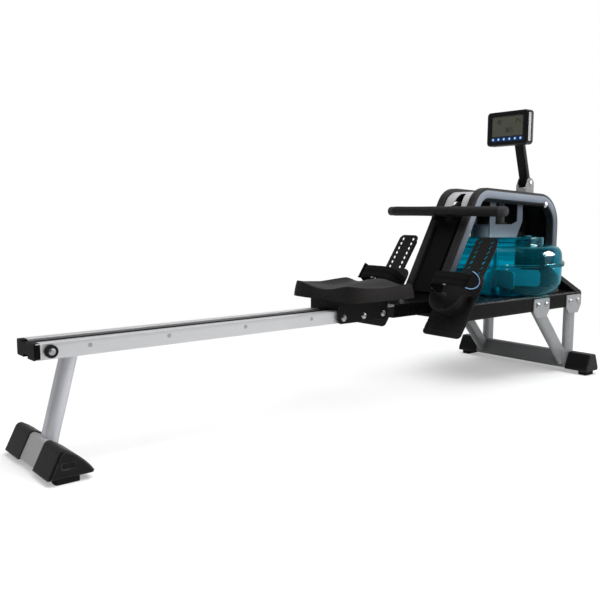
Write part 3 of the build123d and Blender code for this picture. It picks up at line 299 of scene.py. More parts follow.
def railMetal():  # anodised: lines along X; painted reflection and shade make it paler towards the lower edge and darker higher up, painted light makes the top faces paler; black in the spine
    made, tree, shader = newMaterial("railAluminium")
    lines = linesOf(tree, roundEdges(tree, railTones["edge"]), stretch=(2.0, 1400.0, 1400.0), depth=0.1,
                    gloss=0.42, spread=0.16)
    # painted reflection and shade: paler towards the lower edge, darker higher up
    tone = fadeTone(tree, railTones["low"], railTones["high"], railLow.z + railTones["fadeFrom"],
                    railHigh.z + railTones["fadeTo"])
    # painted light: faces turned upwards are made paler
    facing = addNode(tree, "SeparateXYZ", {0: addNode(tree, "NewGeometry")["Normal"]})["Z"]
    above = addMath(tree, "GREATER_THAN", facing, railTones["facing"])
    tone = mixTones(tree, above, tone, rgb(*railTones["top"]))
    spot = spotParts(tree)
    ahead = addMath(tree, "GREATER_THAN", spot["X"], railHigh.x - railTones["sleeveReach"])
    under = addMath(tree, "LESS_THAN", spot["Z"], railHigh.z - railTones["sleeveDrop"])
    sleeve = addMath(tree, "MULTIPLY", ahead, under)
    tone = mixTones(tree, sleeve, tone, rgb(*railTones["sleeve"]))
    metal = addMath(tree, "MULTIPLY_ADD", sleeve, -railTones["metallic"], railTones["metallic"])
    dress(tree, shader, tone, lines)
    fill(tree, shader, {"Metallic": metal})
    return made


beamTones = dict(first=(0.0032, 0.003, 0.003), second=(0.0055, 0.0053, 0.0052), edgeWearHighlight=(0.55, 0.56, 0.58),
                 edge=0.005, edgeDepth=0.006)


def beamPaintWithHighlight():  # black paint with a painted highlight along the upper edges of the side beams
    made, tree, shader = newMaterial("beamPaintWithHighlight", shine=0.13)
    rounded = roundEdges(tree, beamTones["edge"], samples=8)
    tone = driftTone(tree, beamTones["first"], beamTones["second"])
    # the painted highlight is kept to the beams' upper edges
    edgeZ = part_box("side_beams")[1].z - beamTones["edgeDepth"]
    upper = addMath(tree, "GREATER_THAN", spotParts(tree)["Z"], edgeZ)
    tone = wearHighlightTone(tree, rounded, tone, beamTones["edgeWearHighlight"], amount=upper)
    dress(tree, shader, tone, grainOf(tree, rounded, scale=900.0, depth=0.05, gloss=0.28, spread=0.12))
    return made


webbingTones = dict(dark=(0.002, 0.002, 0.002), light=(0.007, 0.0068, 0.0068), cords=38.0, picks=900.0,
                    depth=0.7)


def webbingCloth():
    made, tree, shader = newMaterial("webbing", shine=0.12, Roughness=0.85)
    weave = put(tree, weaveGroup, Cords=webbingTones["cords"], Picks=webbingTones["picks"],
                Depth=webbingTones["depth"])
    tone = mixTones(tree, weave["Mask"], rgb(*webbingTones["dark"]), rgb(*webbingTones["light"]))
    fill(tree, shader, {"Base Color": tone, "Normal": weave["Normal"]})
    return made


tankTones = dict(first=(0.0, 0.45, 0.56), second=(0.0, 0.52, 0.64), clearest=0.02, dullest=0.09)


def tankPlastic():  # blown clear plastic: two close teals, faint flow lines that change its gloss
    made, tree, shader = newMaterial("tankTeal", IOR=1.15, **{"Transmission Weight": 0.97})
    flow = addNoise(tree, objectSpot(tree), scale=6.0, detail=3.0)
    rough = addNode(tree, "MapRange", {0: flow, 3: tankTones["clearest"], 4: tankTones["dullest"]})[0]
    tone = driftTone(tree, tankTones["first"], tankTones["second"], scale=7.0)
    fill(tree, shader, {"Base Color": tone, "Roughness": rough})
    return made


buttonTones = dict(first=(0.01, 0.05, 0.22), second=(0.015, 0.07, 0.28), rim=(0.008, 0.075, 0.24),
                   middle=(0.66, 0.86, 1.0), core=0.0012, reach=0.0056, glow=0.85)


def litButtons():  # lamps under clear caps: nearly white in the middle of each button, blue out to its rim
    made, tree, shader = newMaterial("litButtons", Roughness=0.3,
                                     **{"Emission Strength": buttonTones["glow"]})
    spot = spotParts(tree)
    low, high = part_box("button_1")
    pitch = abs(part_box("button_6")[0].y - low.y) / 5
    step = addMath(tree, "SUBTRACT", spot["Y"], (low.y + high.y) / 2 - 10.5 * pitch)
    off = addMath(tree, "SUBTRACT", addMath(tree, "FLOORED_MODULO", step, pitch), pitch / 2)
    rise = addMath(tree, "SUBTRACT", spot["Z"], (low.z + high.z) / 2)
    away = addMath(tree, "SQRT", addMath(tree, "ADD", addMath(tree, "MULTIPLY", off, off),
                                         addMath(tree, "MULTIPLY", rise, rise)))
    share = easeOver(tree, away, buttonTones["core"], buttonTones["reach"], 1.0, 0.0)
    glow = mixTones(tree, share, rgb(*buttonTones["rim"]), rgb(*buttonTones["middle"]))
    tone = driftTone(tree, buttonTones["first"], buttonTones["second"], scale=40.0)
    fill(tree, shader, {"Base Color": tone, "Emission Color": glow})
    return made


consoleTones = dict(first=(0.004, 0.004, 0.0045), second=(0.008, 0.008, 0.0085), edgeWearHighlight=(0.04, 0.04, 0.045),
                    band=(0.004, 0.032, 0.11), bandFrom=0.004, bandTo=0.011, bandSoft=0.008, edge=0.009)


def consoleFace():  # glossy black shell with a navy band behind the row of buttons
    made, tree, shader = newMaterial("consolePlastic", shine=0.45)
    low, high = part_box("button_1")
    reach = max(abs(corner.y) for corner in (low, high, *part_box("button_6")))
    rounded = roundEdges(tree, consoleTones["edge"], samples=16)
    spot = spotParts(tree)
    rise = addMath(tree, "ABSOLUTE", addMath(tree, "SUBTRACT", spot["Z"], (low.z + high.z) / 2))
    band = easeOver(tree, rise, consoleTones["bandFrom"], consoleTones["bandTo"], 1.0, 0.0)
    side = addMath(tree, "ABSOLUTE", spot["Y"])
    across = easeOver(tree, side, reach, reach + consoleTones["bandSoft"], 1.0, 0.0)
    front = addMath(tree, "LESS_THAN", spot["X"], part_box("console_lens")[1].x)
    share = addMath(tree, "MULTIPLY", addMath(tree, "MULTIPLY", band, across), front)
    tone = driftTone(tree, consoleTones["first"], consoleTones["second"])
    tone = wearHighlightTone(tree, rounded, tone, consoleTones["edgeWearHighlight"], amount=0.6)
    tone = mixTones(tree, share, tone, rgb(*consoleTones["band"]))
    dress(tree, shader, tone, grainOf(tree, rounded, scale=900.0, depth=0.01, gloss=0.13, spread=0.05))
    return made


finishes = {
    "rail_aluminium": railMetal(),
    "black_plastic": moulded("blackMoulding", (0.0028, 0.0027, 0.0026), (0.005, 0.0048, 0.0046), gloss=0.5,
                             shine=0.09, edgeWearHighlight=(0.035, 0.035, 0.035)),
    "dark_plastic": moulded("darkPanel", (0.013, 0.0118, 0.0118), (0.019, 0.0172, 0.0172), gloss=0.40,
                            shine=0.3, edgeWearHighlight=(0.09, 0.086, 0.09)),
    "rubber": moulded("padRubber", (0.008, 0.008, 0.008), (0.014, 0.014, 0.014), gloss=0.75, depth=0.3,
                      shine=0.25),
    "bolt_steel": boltMetal(),
    "silver_paint": moulded("silverPaint", (0.29, 0.30, 0.31), (0.47, 0.48, 0.49), gloss=0.36, Metallic=0.35,
                            drift=55.0, scale=2200.0, edgeWearHighlight=(0.6, 0.6, 0.61), shine=0.4),
    "dark_paint": moulded("footPaint", (0.19, 0.195, 0.20), (0.235, 0.24, 0.245), gloss=0.4, shine=0.3,
                          edgeWearHighlight=(0.4, 0.4, 0.41), amount=0.4),
    "black_paint": moulded("blackPaint", (0.0032, 0.003, 0.003), (0.0055, 0.0053, 0.0052), gloss=0.28,
                           depth=0.05, edge=0.004, edgeWearHighlight=(0.10, 0.10, 0.10), amount=0.35, shine=0.13),
    "plate_steel": moulded("plateSteel", (0.36, 0.37, 0.385), (0.46, 0.47, 0.485), gloss=0.40, Metallic=0.2,
                           drift=60.0, edgeWearHighlight=(0.7, 0.7, 0.72), shine=0.4),
    "face_paint": archPaintAndShade(),
    "silver_plastic": moulded("silverCover", (0.42, 0.42, 0.43), (0.50, 0.50, 0.51), gloss=0.38, shine=0.4,
                              edgeWearHighlight=(0.7, 0.7, 0.7)),
    "tank_clear": tankPlastic(),
    "tank_cap": moulded("tankCap", (0.01, 0.12, 0.16), (0.02, 0.14, 0.18), gloss=0.2),
    "webbing": webbingCloth(),
    "clevis_paint": moulded("clevisPaint", (0.36, 0.35, 0.36), (0.44, 0.43, 0.44), gloss=0.5, shine=0.12,
                            edgeWearHighlight=(0.6, 0.6, 0.6)),
    "seat_skin": moulded("seatSkin", (0.018, 0.0168, 0.0165), (0.025, 0.0235, 0.023), gloss=0.40, spread=0.16,
                         depth=0.25, scale=1300.0, shine=0.07),
    "roller_plastic": moulded("rollerTyre", (0.03, 0.03, 0.03), (0.05, 0.05, 0.05), gloss=0.5, shine=0.3),
    "handle_tube": moulded("handleCap", (0.040, 0.038, 0.042), (0.050, 0.048, 0.052), gloss=0.5, shine=0.12),
    "grip_rubber": moulded("gripFoam", (0.0085, 0.0085, 0.0085), (0.0135, 0.013, 0.013), gloss=0.62,
                           depth=0.4, scale=2600.0, shine=0.3),
    "wheel_plastic": moulded("wheelNylon", (0.02, 0.02, 0.02), (0.035, 0.035, 0.035), gloss=0.4, shine=0.3),
    "blade_plastic": moulded("bladeNylon", (0.40, 0.42, 0.42), (0.48, 0.50, 0.50), gloss=0.45),
    "console_plastic": consoleFace(),
    "display_window": moulded("displayWindow", (0.078, 0.081, 0.062), (0.095, 0.098, 0.077), gloss=0.15,
                              depth=0.0, edge=0.0005, shine=0.4),
    "button_blue": litButtons(),
}
footMoulding = moulded("footMoulding", (0.012, 0.0112, 0.011), (0.018, 0.017, 0.0165), gloss=0.5, shine=0.12,
                       edgeWearHighlight=(0.04, 0.04, 0.04))
pipingCloth = moulded("pipingCloth", (0.12, 0.28, 0.55), (0.34, 0.52, 0.76), gloss=0.6, shine=0.3)
digitInk = moulded("digitInk", (0.006, 0.0062, 0.005), (0.009, 0.0093, 0.0075), gloss=0.3, shine=0.2)
ownFinish = {
    "rear_leg": moulded("legPaint", (0.72, 0.73, 0.775), (0.80, 0.81, 0.86), gloss=0.30, scale=2200.0,
                        shine=0.4, edge=0.016, Metallic=0.45),
    "rear_foot_bar": moulded("rearBarPaint", (0.54, 0.53, 0.54), (0.60, 0.59, 0.60), gloss=0.42, scale=2200.0,
                             shine=0.4, edgeWearHighlight=(0.6, 0.6, 0.61)),
    # the caps' edges are painted much lighter, a painted highlight on their bevels
    "foot_caps": moulded("capMoulding", (0.0065, 0.006, 0.006), (0.0105, 0.010, 0.010), gloss=0.38, shine=0.2,
                         edge=0.005, edgeWearHighlight=(0.14, 0.14, 0.14), amount=0.7),
    "side_beams": beamPaintWithHighlight(),
    "strap_shackle": finishes["grip_rubber"],
    "pulley_bracket": moulded("bracketPaint", (0.085, 0.11, 0.145), (0.115, 0.145, 0.185), gloss=0.42,
                              shine=0.3, drift=30.0, edgeWearHighlight=(0.3, 0.33, 0.37)),
}
for row in frame["record"]["subparts"]:
    shown = nodes[row["node"]].data
    shown.materials.clear()
    shown.materials.append(ownFinish.get(row["node"], finishes[row["material_slot"]]))
print("finishes:", len(finishes))


# mesh helpers: most shapes are grids of points, [rows, columns, 3]

def unit(lines):
    return lines / np.linalg.norm(lines, axis=-1, keepdims=True)


def smooth(share):  # 0 to 1 with level ends
    share = np.clip(share, 0, 1)
    return share * share * (3 - 2 * share)


def gridQuads(rows, columns, closeRows=False, closeColumns=False):  # the four corners of every cell of a grid
    row = np.arange(rows if closeRows else rows - 1)[:, None]
    column = np.arange(columns if closeColumns else columns - 1)[None, :]
    nextRow, nextColumn = (row + 1) % rows, (column + 1) % columns
    corners = (row * columns + column, row * columns + nextColumn, nextRow * columns + nextColumn,
               nextRow * columns + column)
    return np.stack(np.broadcast_arrays(*corners), -1).reshape(-1, 4)


def sheetOf(points, closeRows=False, closeColumns=False, capRows=False):  # a grid as points and faces
    rows, columns = points.shape[:2]
    faces = gridQuads(rows, columns, closeRows, closeColumns).tolist()
    if capRows:
        ring = np.arange(columns)
        faces += [ring.tolist(), (ring + (rows - 1) * columns).tolist()]
    return points.reshape(-1, 3), faces


def slabOf(top, under):  # two grids, one over the other, joined all round their border
    rows, columns = top.shape[:2]
    count = rows * columns
    index = np.arange(count).reshape(rows, columns)
    border = np.concatenate((index[0, :-1], index[:-1, -1], index[-1, :0:-1], index[:0:-1, 0]))
    after = np.roll(border, -1)
    wall = np.stack((border, border + count, after + count, after), -1)
    cells = gridQuads(rows, columns)
    faces = np.concatenate((cells, cells[:, ::-1] + count, wall))
    return np.concatenate((top.reshape(-1, 3), under.reshape(-1, 3))), faces.tolist()


def roundedLine(points, radii, steps=8):  # a closed outline with each corner an arc of its own radius
    spots = np.asarray(points, float)
    share = np.linspace(0, 1, steps + 1)[:, None]
    made = []
    for index, radius in enumerate(radii):
        here = spots[index]
        if radius <= 0:
            made.append(here[None])
            continue
        before = unit(spots[index - 1] - here)
        after = unit(spots[(index + 1) % len(spots)] - here)
        half = 0.5 * np.arccos(np.clip(before @ after, -1, 1))
        middle = here + unit(before + after) * radius / np.sin(half)
        first = here + before * radius / np.tan(half) - middle
        last = here + after * radius / np.tan(half) - middle
        turn = np.pi - 2 * half
        bow = first * np.sin((1 - share) * turn) + last * np.sin(share * turn)
        made.append(middle + bow / np.sin(turn))
    return np.concatenate(made)


def ringOf(steps):  # the angles of a full turn
    return np.linspace(0, 2 * np.pi, steps, endpoint=False)


def turnedZ(profile, centre, steps, swell=None):  # radius and height carried round an upright axis
    angle = ringOf(steps)[:, None]
    radius = profile[None, :, 0] + 0 * angle
    if swell:
        radius = radius + swell(angle, radius)
    height = np.broadcast_to(profile[None, :, 1], radius.shape)
    return np.stack((centre[0] + radius * np.cos(angle), centre[1] + radius * np.sin(angle), height), -1)


def turnedY(profile, centre, steps):  # place along Y and radius carried round a level axis
    angle = ringOf(steps)[None, :]
    along = np.broadcast_to(profile[:, :1], (len(profile), steps))
    radius = profile[:, 1:]
    return np.stack((centre[0] + radius * np.cos(angle), along, centre[1] + radius * np.sin(angle)), -1)


def bandAlong(path, across, width, thickness, steps=20):  # a band with soft edges carried along a path
    angle = ringOf(steps)
    side = np.sign(np.cos(angle)) * np.abs(np.cos(angle)) ** 0.4 * width / 2
    lift = np.sign(np.sin(angle)) * np.abs(np.sin(angle)) ** 0.7 * thickness / 2
    forward = unit(np.gradient(path, axis=0))
    across = unit(across - forward * np.sum(across * forward, -1, keepdims=True))
    up = np.cross(forward, across)
    return path[:, None] + across[:, None] * side[None, :, None] + up[:, None] * lift[None, :, None]


def bandFlow(path, steps):  # distance along and share round a band, one pair for each of its points
    step = np.linalg.norm(np.diff(path, axis=0), axis=-1)
    along = np.concatenate(([0], np.cumsum(step)))
    grid = np.meshgrid(along, np.linspace(0, 1, steps, endpoint=False), indexing="ij")
    return np.stack(grid, -1).reshape(-1, 2)


def tubeAlong(path, radius, steps=10):  # a round wire carried along a path in one plane
    angle = ringOf(steps)
    forward = unit(np.gradient(path, axis=0))
    flat = unit(np.cross(path[len(path) // 3] - path[0], path[2 * len(path) // 3] - path[0]))
    side = unit(np.cross(forward, flat))
    circle = side[:, None] * np.cos(angle)[None, :, None] + flat[None, None] * np.sin(angle)[None, :, None]
    return path[:, None] + radius * circle


def plateOf(outlines, low, high):  # a plate between two heights; outlines after the first are holes
    shape = bpy.data.curves.new("plate", "CURVE")
    shape.dimensions = "2D"
    shape.fill_mode = "BOTH"
    shape.extrude = (high - low) / 2
    for outline in outlines:
        line = shape.splines.new("POLY")
        line.points.add(len(outline) - 1)
        line.points.foreach_set("co", np.insert(outline, [2, 2], (0.0, 1.0), axis=1).ravel())
        line.use_cyclic_u = True
    holder = bpy.data.objects.new("plate", shape)
    mesh = bpy.data.meshes.new_from_object(holder)
    spots = np.zeros(3 * len(mesh.vertices))
    mesh.vertices.foreach_get("co", spots)
    faces = [list(face.vertices) for face in mesh.polygons]
    bpy.data.objects.remove(holder)
    bpy.data.curves.remove(shape)
    bpy.data.meshes.remove(mesh)
    return spots.reshape(-1, 3) + (0, 0, (low + high) / 2), faces


def placed(sheet, place):  # a sheet whose three coordinates are given to a placing function
    points, faces = sheet
    return place(points[:, 0], points[:, 1], points[:, 2]), faces


def addPiece(name, sheets, slot, body, stands=(), paint=None, crease=40.0, flow=None):
    mesh = bpy.data.meshes.new(name)
    spots, faces = [], []
    for points, corners in sheets:
        count = sum(len(part) for part in spots)
        spots.append(points)
        faces += [[count + corner for corner in face] for face in corners]
    mesh.from_pydata(np.concatenate(spots).tolist(), [], faces)
    if flow is not None:  # distance along and share across a band, for its weave
        corner = np.zeros(len(mesh.loops), int)
        mesh.loops.foreach_get("vertex_index", corner)
        mesh.uv_layers.new(name="flow").data.foreach_set("uv", np.asarray(flow)[corner].ravel())
    work = bmesh.new()
    work.from_mesh(mesh)
    bmesh.ops.remove_doubles(work, verts=work.verts, dist=1e-6)
    bmesh.ops.recalc_face_normals(work, faces=work.faces)
    work.to_mesh(mesh)
    work.free()
    mesh.shade_smooth()
    mesh.set_sharp_from_angle(angle=np.radians(crease))
    mesh.materials.append(paint or finishes[slot])
    made = bpy.data.objects.new(name, mesh)
    bpy.context.scene.collection.objects.link(made)
    if body:
        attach(made, body)
    if stands:
        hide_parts(*stands)
    return made


# seat pad: rings from the middle of its top to a crisp edge, down a leaning wall and back underneath

seatSizes = dict(edge=0.006, lean=0.008, belly=0.0012, rearSquareness=8.0, frontSquareness=11.0, around=220,
                 rings=26, edgeSteps=7, wallSteps=9, hollowOut=0.46, crestOut=0.93,
                 depthAt=(0.0, 0.2, 0.45, 0.67, 0.88, 1.0), crestAt=(0.97, 0.82, 0.76, 0.83, 0.88, 0.82),
                 hollowAt=(0.82, 0.66, 0.60, 0.66, 0.74, 0.74), middleAt=(0.62, 0.62, 0.68, 0.82, 0.93, 0.96))


def seatTop(x, y, low, high):  # height: a quartic across, through the middle, hollow and crest at each depth
    depth = (x - low.x) / (high.x - low.x)
    across = np.abs(y) / high.y
    crest, hollow, middle = (np.interp(depth, seatSizes["depthAt"], seatSizes[key])
                             for key in ("crestAt", "hollowAt", "middleAt"))
    near, far = seatSizes["hollowOut"] ** 2, seatSizes["crestOut"] ** 2
    fourth = ((crest - middle) / far - (hollow - middle) / near) / (far - near)
    second = (hollow - middle) / near - fourth * near
    share = middle + second * across ** 2 + fourth * across ** 4
    return low.z + (high.z - low.z) * np.minimum(share, 1.0)


def addSeat():  # its plan is a squared ellipse, squarer in front
    low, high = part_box("seat_pad")
    edge, lean = seatSizes["edge"], seatSizes["lean"]
    angle = ringOf(seatSizes["around"])
    ahead = smooth(0.5 + 0.5 * np.cos(angle))
    power = seatSizes["rearSquareness"] + (seatSizes["frontSquareness"] - seatSizes["rearSquareness"]) * ahead
    reach = (np.abs(np.cos(angle)) ** power + np.abs(np.sin(angle)) ** power) ** (-1 / power)
    plan = reach[:, None] * np.stack(((high.x - low.x) / 2 * np.cos(angle), high.y * np.sin(angle)), -1)
    middle = np.array(((low.x + high.x) / 2, 0))
    out = np.linalg.norm(plan, axis=-1)

    share = np.linspace(0, 1, seatSizes["rings"])[:, None]
    turn = np.linspace(0, np.pi / 2, seatSizes["edgeSteps"])[1:, None]
    wall = np.linspace(0, 1, seatSizes["wallSteps"])[1:, None]
    slant = lean * (1 - wall) - seatSizes["belly"] * np.sin(np.pi * wall)
    inset = np.concatenate((out - share * (out - lean - edge), lean + edge * (1 - np.sin(turn)) + 0 * out,
                            slant + 0 * out, share[1:] * out))
    drop = np.concatenate((0 * share, edge * (1 - np.cos(turn)), edge + 0 * wall, edge + 0 * share[1:]))
    sink = np.concatenate((0 * share, 0 * turn, wall, 1 + 0 * share[1:]))
    place = middle + plan * (1 - inset / out)[..., None]
    top = seatTop(place[..., 0], place[..., 1], low, high) - drop
    height = top * (1 - sink) + low.z * sink
    points = np.concatenate((place, height[..., None]), -1)
    seat = addPiece("seat_cushion", [sheetOf(points, closeColumns=True)], "seat_skin", "seat", ("seat_pad",),
                    crease=60.0)


# handle: foam sleeves on the bar, with round-ended caps

gripSizes = dict(edge=0.004, waist=0.0006, coreInset=0.004, around=40, bodySteps=40, edgeSteps=8,
                 capDome=0.007, capLip=0.0006, capSteps=12, capPower=0.35)


def addHandle():  # profiles of place along Y and radius, turned about the bar
    low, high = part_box("handle_grips")
    barLow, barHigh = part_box("handle_bar")
    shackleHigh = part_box("strap_shackle")[1].y
    axis = ((low.x + high.x) / 2, (low.z + high.z) / 2)
    radius = (high.z - low.z) / 2
    edge = gripSizes["edge"]
    share = np.linspace(0, 1, gripSizes["bodySteps"])
    turn = np.linspace(0, np.pi / 2, gripSizes["edgeSteps"])
    core = (barHigh.z - barLow.z) / 2 - gripSizes["coreInset"]
    body = radius - gripSizes["waist"] * np.sin(np.pi * share)
    along = shackleHigh + edge + share * (high.y - shackleHigh - 2 * edge)
    inset, drop = edge * (1 - np.sin(turn)), edge * (1 - np.cos(turn))
    start = np.stack((shackleHigh + inset, radius - drop), -1)[::-1]
    finish = np.stack((high.y - inset, radius - drop), -1)
    profile = np.concatenate(([(shackleHigh, core)], start, np.stack((along, body), -1), finish,
                              [(high.y, core)]))
    sleeves = [sheetOf(turnedY(profile * (side, 1), axis, gripSizes["around"]), closeRows=True,
                       closeColumns=True) for side in (1, -1)]
    grips = addPiece("foam_grips", sleeves, "grip_rubber", "handle", ("handle_grips",))

    capRadius, lip = (barHigh.z - barLow.z) / 2, gripSizes["capLip"]
    turn = np.linspace(0, np.pi / 2, gripSizes["capSteps"])
    domed = np.stack((barHigh.y - gripSizes["capDome"] * (1 - np.sin(turn)),
                      capRadius * np.cos(turn) ** gripSizes["capPower"]), -1)
    capRun = ((0, core), (high.y, core), (high.y, capRadius - lip), (high.y + lip, capRadius))
    half = np.concatenate((capRun, domed))
    profile = np.concatenate((half[::-1] * (-1, 1), half[1:]))
    points = turnedY(profile, axis, gripSizes["around"])
    addPiece("handle_tube_and_caps", [sheetOf(points, closeColumns=True)], "handle_tube", "handle",
             ("handle_bar",))


# straps of the drive

strapSizes = dict(steps=60, arcSteps=16, thick=0.002)


def addPullStrap():  # the run from handle to top idler
    low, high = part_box("pull_strap")
    thick = strapSizes["thick"]
    pitch = np.arctan2(high.z - low.z, high.x - low.x)
    tip = np.array((low.x + thick / 2 * np.sin(pitch), 0, low.z + thick / 2 * np.cos(pitch)))
    top = np.array((high.x - thick / 2 * np.sin(pitch), 0, high.z - thick / 2 * np.cos(pitch)))
    path = tip + (top - tip) * np.linspace(0, 1, strapSizes["steps"])[:, None]
    across = np.broadcast_to((0.0, 1.0, 0.0), path.shape)
    points = bandAlong(path, across, high.y - low.y, thick)
    strap = addPiece("pull_webbing", [sheetOf(points, closeColumns=True, capRows=True)], "webbing", None,
                     ("pull_strap",), flow=bandFlow(path, points.shape[1]))
    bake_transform(strap)
    addInnerStrap(top, high.y - low.y)


def addInnerStrap(top, width):  # over the idler, then straight on with a quarter turn on its way to the drum
    idlerLow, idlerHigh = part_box("top_idler")
    low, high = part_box("inner_strap")
    thick = strapSizes["thick"]
    middle = np.array(((idlerLow.x + idlerHigh.x) / 2, (idlerLow.z + idlerHigh.z) / 2))
    start = top[[0, 2]] - middle
    radius = np.linalg.norm(start)
    last = np.array((high.x, high.y - thick / 2, low.z + width / 2))
    aim = last[[0, 2]] - middle
    leave = np.arctan2(aim[1], aim[0]) + np.arccos(radius / np.linalg.norm(aim))
    angle = np.linspace(np.arctan2(start[1], start[0]), leave, strapSizes["arcSteps"])
    arc = np.stack((middle[0] + radius * np.cos(angle), 0 * angle, middle[1] + radius * np.sin(angle)), -1)
    share = np.linspace(0, 1, strapSizes["steps"])[1:, None]
    path = np.concatenate((arc, arc[-1] + (last - arc[-1]) * share))
    turn = np.concatenate((0 * angle, smooth(share[:, 0]) * np.pi / 2))
    across = np.stack((0 * turn, np.cos(turn), -np.sin(turn)), -1)
    points = bandAlong(path, across, width, thick)
    addPiece("inner_webbing", [sheetOf(points, closeColumns=True, capRows=True)], "webbing", "frame",
             ("inner_strap",), flow=bandFlow(path, points.shape[1]))


# water tank: shells of even wall, turned about the shaft, with lugs swelling out of both flanges

tankSizes = dict(wall=0.004, radius=0.240, draft=0.003, flange=0.005, around=192, lugs=8, lugReach=0.007,
                 lugWidth=0.032, lugFrom=0.002, lugOver=0.004, bowl=0.048, shoulder=0.036, lid=0.172,
                 lidHeight=0.028, fall=0.006, seat=0.016, boss=0.012, axis=0.0005,
                 flangeRounds=(0.002, 0.0015, 0.0015, 0.001),
                 lidRounds=(0.003, 0.005, 0.001, 0.001, 0.001, 0.002, 0.003, 0.001))


def addTank():
    low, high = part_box("tank_lower")
    topLow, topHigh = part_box("tank_upper")
    centre = ((low.x + high.x) / 2, 0)
    wall, radius, flange, axis = (tankSizes[key] for key in ("wall", "radius", "flange", "axis"))
    edge = (high.x - low.x) / 2 - tankSizes["lugReach"]
    base = radius - tankSizes["draft"]

    def lugSwell(angle, away):  # the flange's rim stands out in a round bump at each lug
        turn = 2 * np.pi / tankSizes["lugs"]
        off = (np.mod(angle + turn / 2, turn) - turn / 2) * edge
        bump = np.sqrt(np.clip(1 - (off / (tankSizes["lugWidth"] / 2)) ** 2, 0, 1))
        rise = smooth((away - radius - tankSizes["lugFrom"]) / tankSizes["lugOver"])
        return tankSizes["lugReach"] * bump * rise

    floor, brim, bowl = low.z + wall, high.z - flange, tankSizes["bowl"]
    lower = roundedLine(
        ((axis, low.z), (base, low.z), (radius, brim), (edge, brim), (edge, high.z), (radius - wall, high.z),
         (base - wall, floor), (axis, floor)),
        (0, bowl, *tankSizes["flangeRounds"], bowl - wall, 0))
    lid, seat, boss, bend = (tankSizes[key] for key in ("lid", "seat", "boss", "shoulder"))
    shoulder = topHigh.z - tankSizes["lidHeight"]
    rim = shoulder - tankSizes["fall"]
    upper = roundedLine(
        ((radius - wall, topLow.z), (edge, topLow.z), (edge, topLow.z + flange), (radius, topLow.z + flange),
         (base, rim), (lid, shoulder), (lid, topHigh.z), (seat, topHigh.z), (seat, topHigh.z - boss),
         (seat + boss, topHigh.z - boss), (seat + boss, topHigh.z - wall), (lid - wall, topHigh.z - wall),
         (lid - wall, shoulder - wall), (base - wall, rim - wall)),
        (*tankSizes["flangeRounds"][::-1], bend, *tankSizes["lidRounds"], bend - wall))
    for name, profile, node in (("tank_bowl", lower, "tank_lower"), ("tank_dome", upper, "tank_upper")):
        points = turnedZ(profile, centre, tankSizes["around"], lugSwell)
        addPiece(name, [sheetOf(points, closeRows=True, closeColumns=True)], "tank_clear", "frame", (node,),
                 crease=50.0)


plugSizes = dict(share=0.8, height=0.0032, chamfer=0.0010, flat=0.86, sunk=0.001, axis=0.0003, around=36)


def addPlug():  # the filler plug: a low round cap with a chamfered rim
    low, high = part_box("tank_plug")
    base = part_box("tank_upper")[1].z
    radius, top = plugSizes["share"] * (high.x - low.x) / 2, base + plugSizes["height"]
    profile = np.array(((plugSizes["axis"], top), (radius * plugSizes["flat"], top),
                        (radius, top - plugSizes["chamfer"]), (radius, base - plugSizes["sunk"])))
    middle = ((low.x + high.x) / 2, (low.y + high.y) / 2)
    points = turnedZ(profile, middle, plugSizes["around"])
    addPiece("filler_plug", [sheetOf(points, closeRows=True)], "tank_cap", "frame", ("tank_plug",))


# arch: a body with a hollowed inner edge swept along the bent band, and a crowned face on it

archSizes = dict(lean=60.8, rise=0.3995, fall=2.6, band=0.048, post=0.036, rearBend=0.085, frontBend=0.120,
                 thickness=0.030, faceThickness=0.0015, faceFrom=0.0095, faceTo=0.0375, faceSteps=15,
                 crown=0.004, bevelDepth=0.013, lip=0.004, step=0.001, postShift=0.014, steps=18,
                 roundSteps=5, rounds=(0.001, 0.006, 0.010, 0.004, 0.002, 0.002))


def archLine(inset):  # the band's outline at one inset: up the lean, over the top and down the post
    low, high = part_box("arch_panels")
    climb, fall = np.tan(np.radians((archSizes["lean"], archSizes["fall"])))
    rear = low.x + inset / np.sin(np.radians(archSizes["lean"]))
    top = low.z + archSizes["rise"] - inset / np.cos(np.radians(archSizes["fall"]))
    bendX = (top - low.z + rear * climb + low.x * fall) / (climb + fall)
    share = inset / archSizes["band"]
    shift = 4 * archSizes["postShift"] * share ** 2 * (1 - share)
    front = high.x - (inset + shift) * archSizes["post"] / archSizes["band"]
    points = ((rear, low.z), (bendX, top - (bendX - low.x) * fall), (front, top - (front - low.x) * fall),
              (front, low.z))
    radii = (0, archSizes["rearBend"] - inset, archSizes["frontBend"] - inset, 0)
    return roundedLine(points, radii, archSizes["steps"])


def archSweep(profile, side):  # a section of inset and distance from the middle carried along the arch
    lines = np.stack([archLine(inset) for inset in profile[:, 0]])
    across = np.broadcast_to(side * profile[:, 1, None], lines.shape[:2])
    return np.stack((lines[..., 0], across, lines[..., 1]), -1)


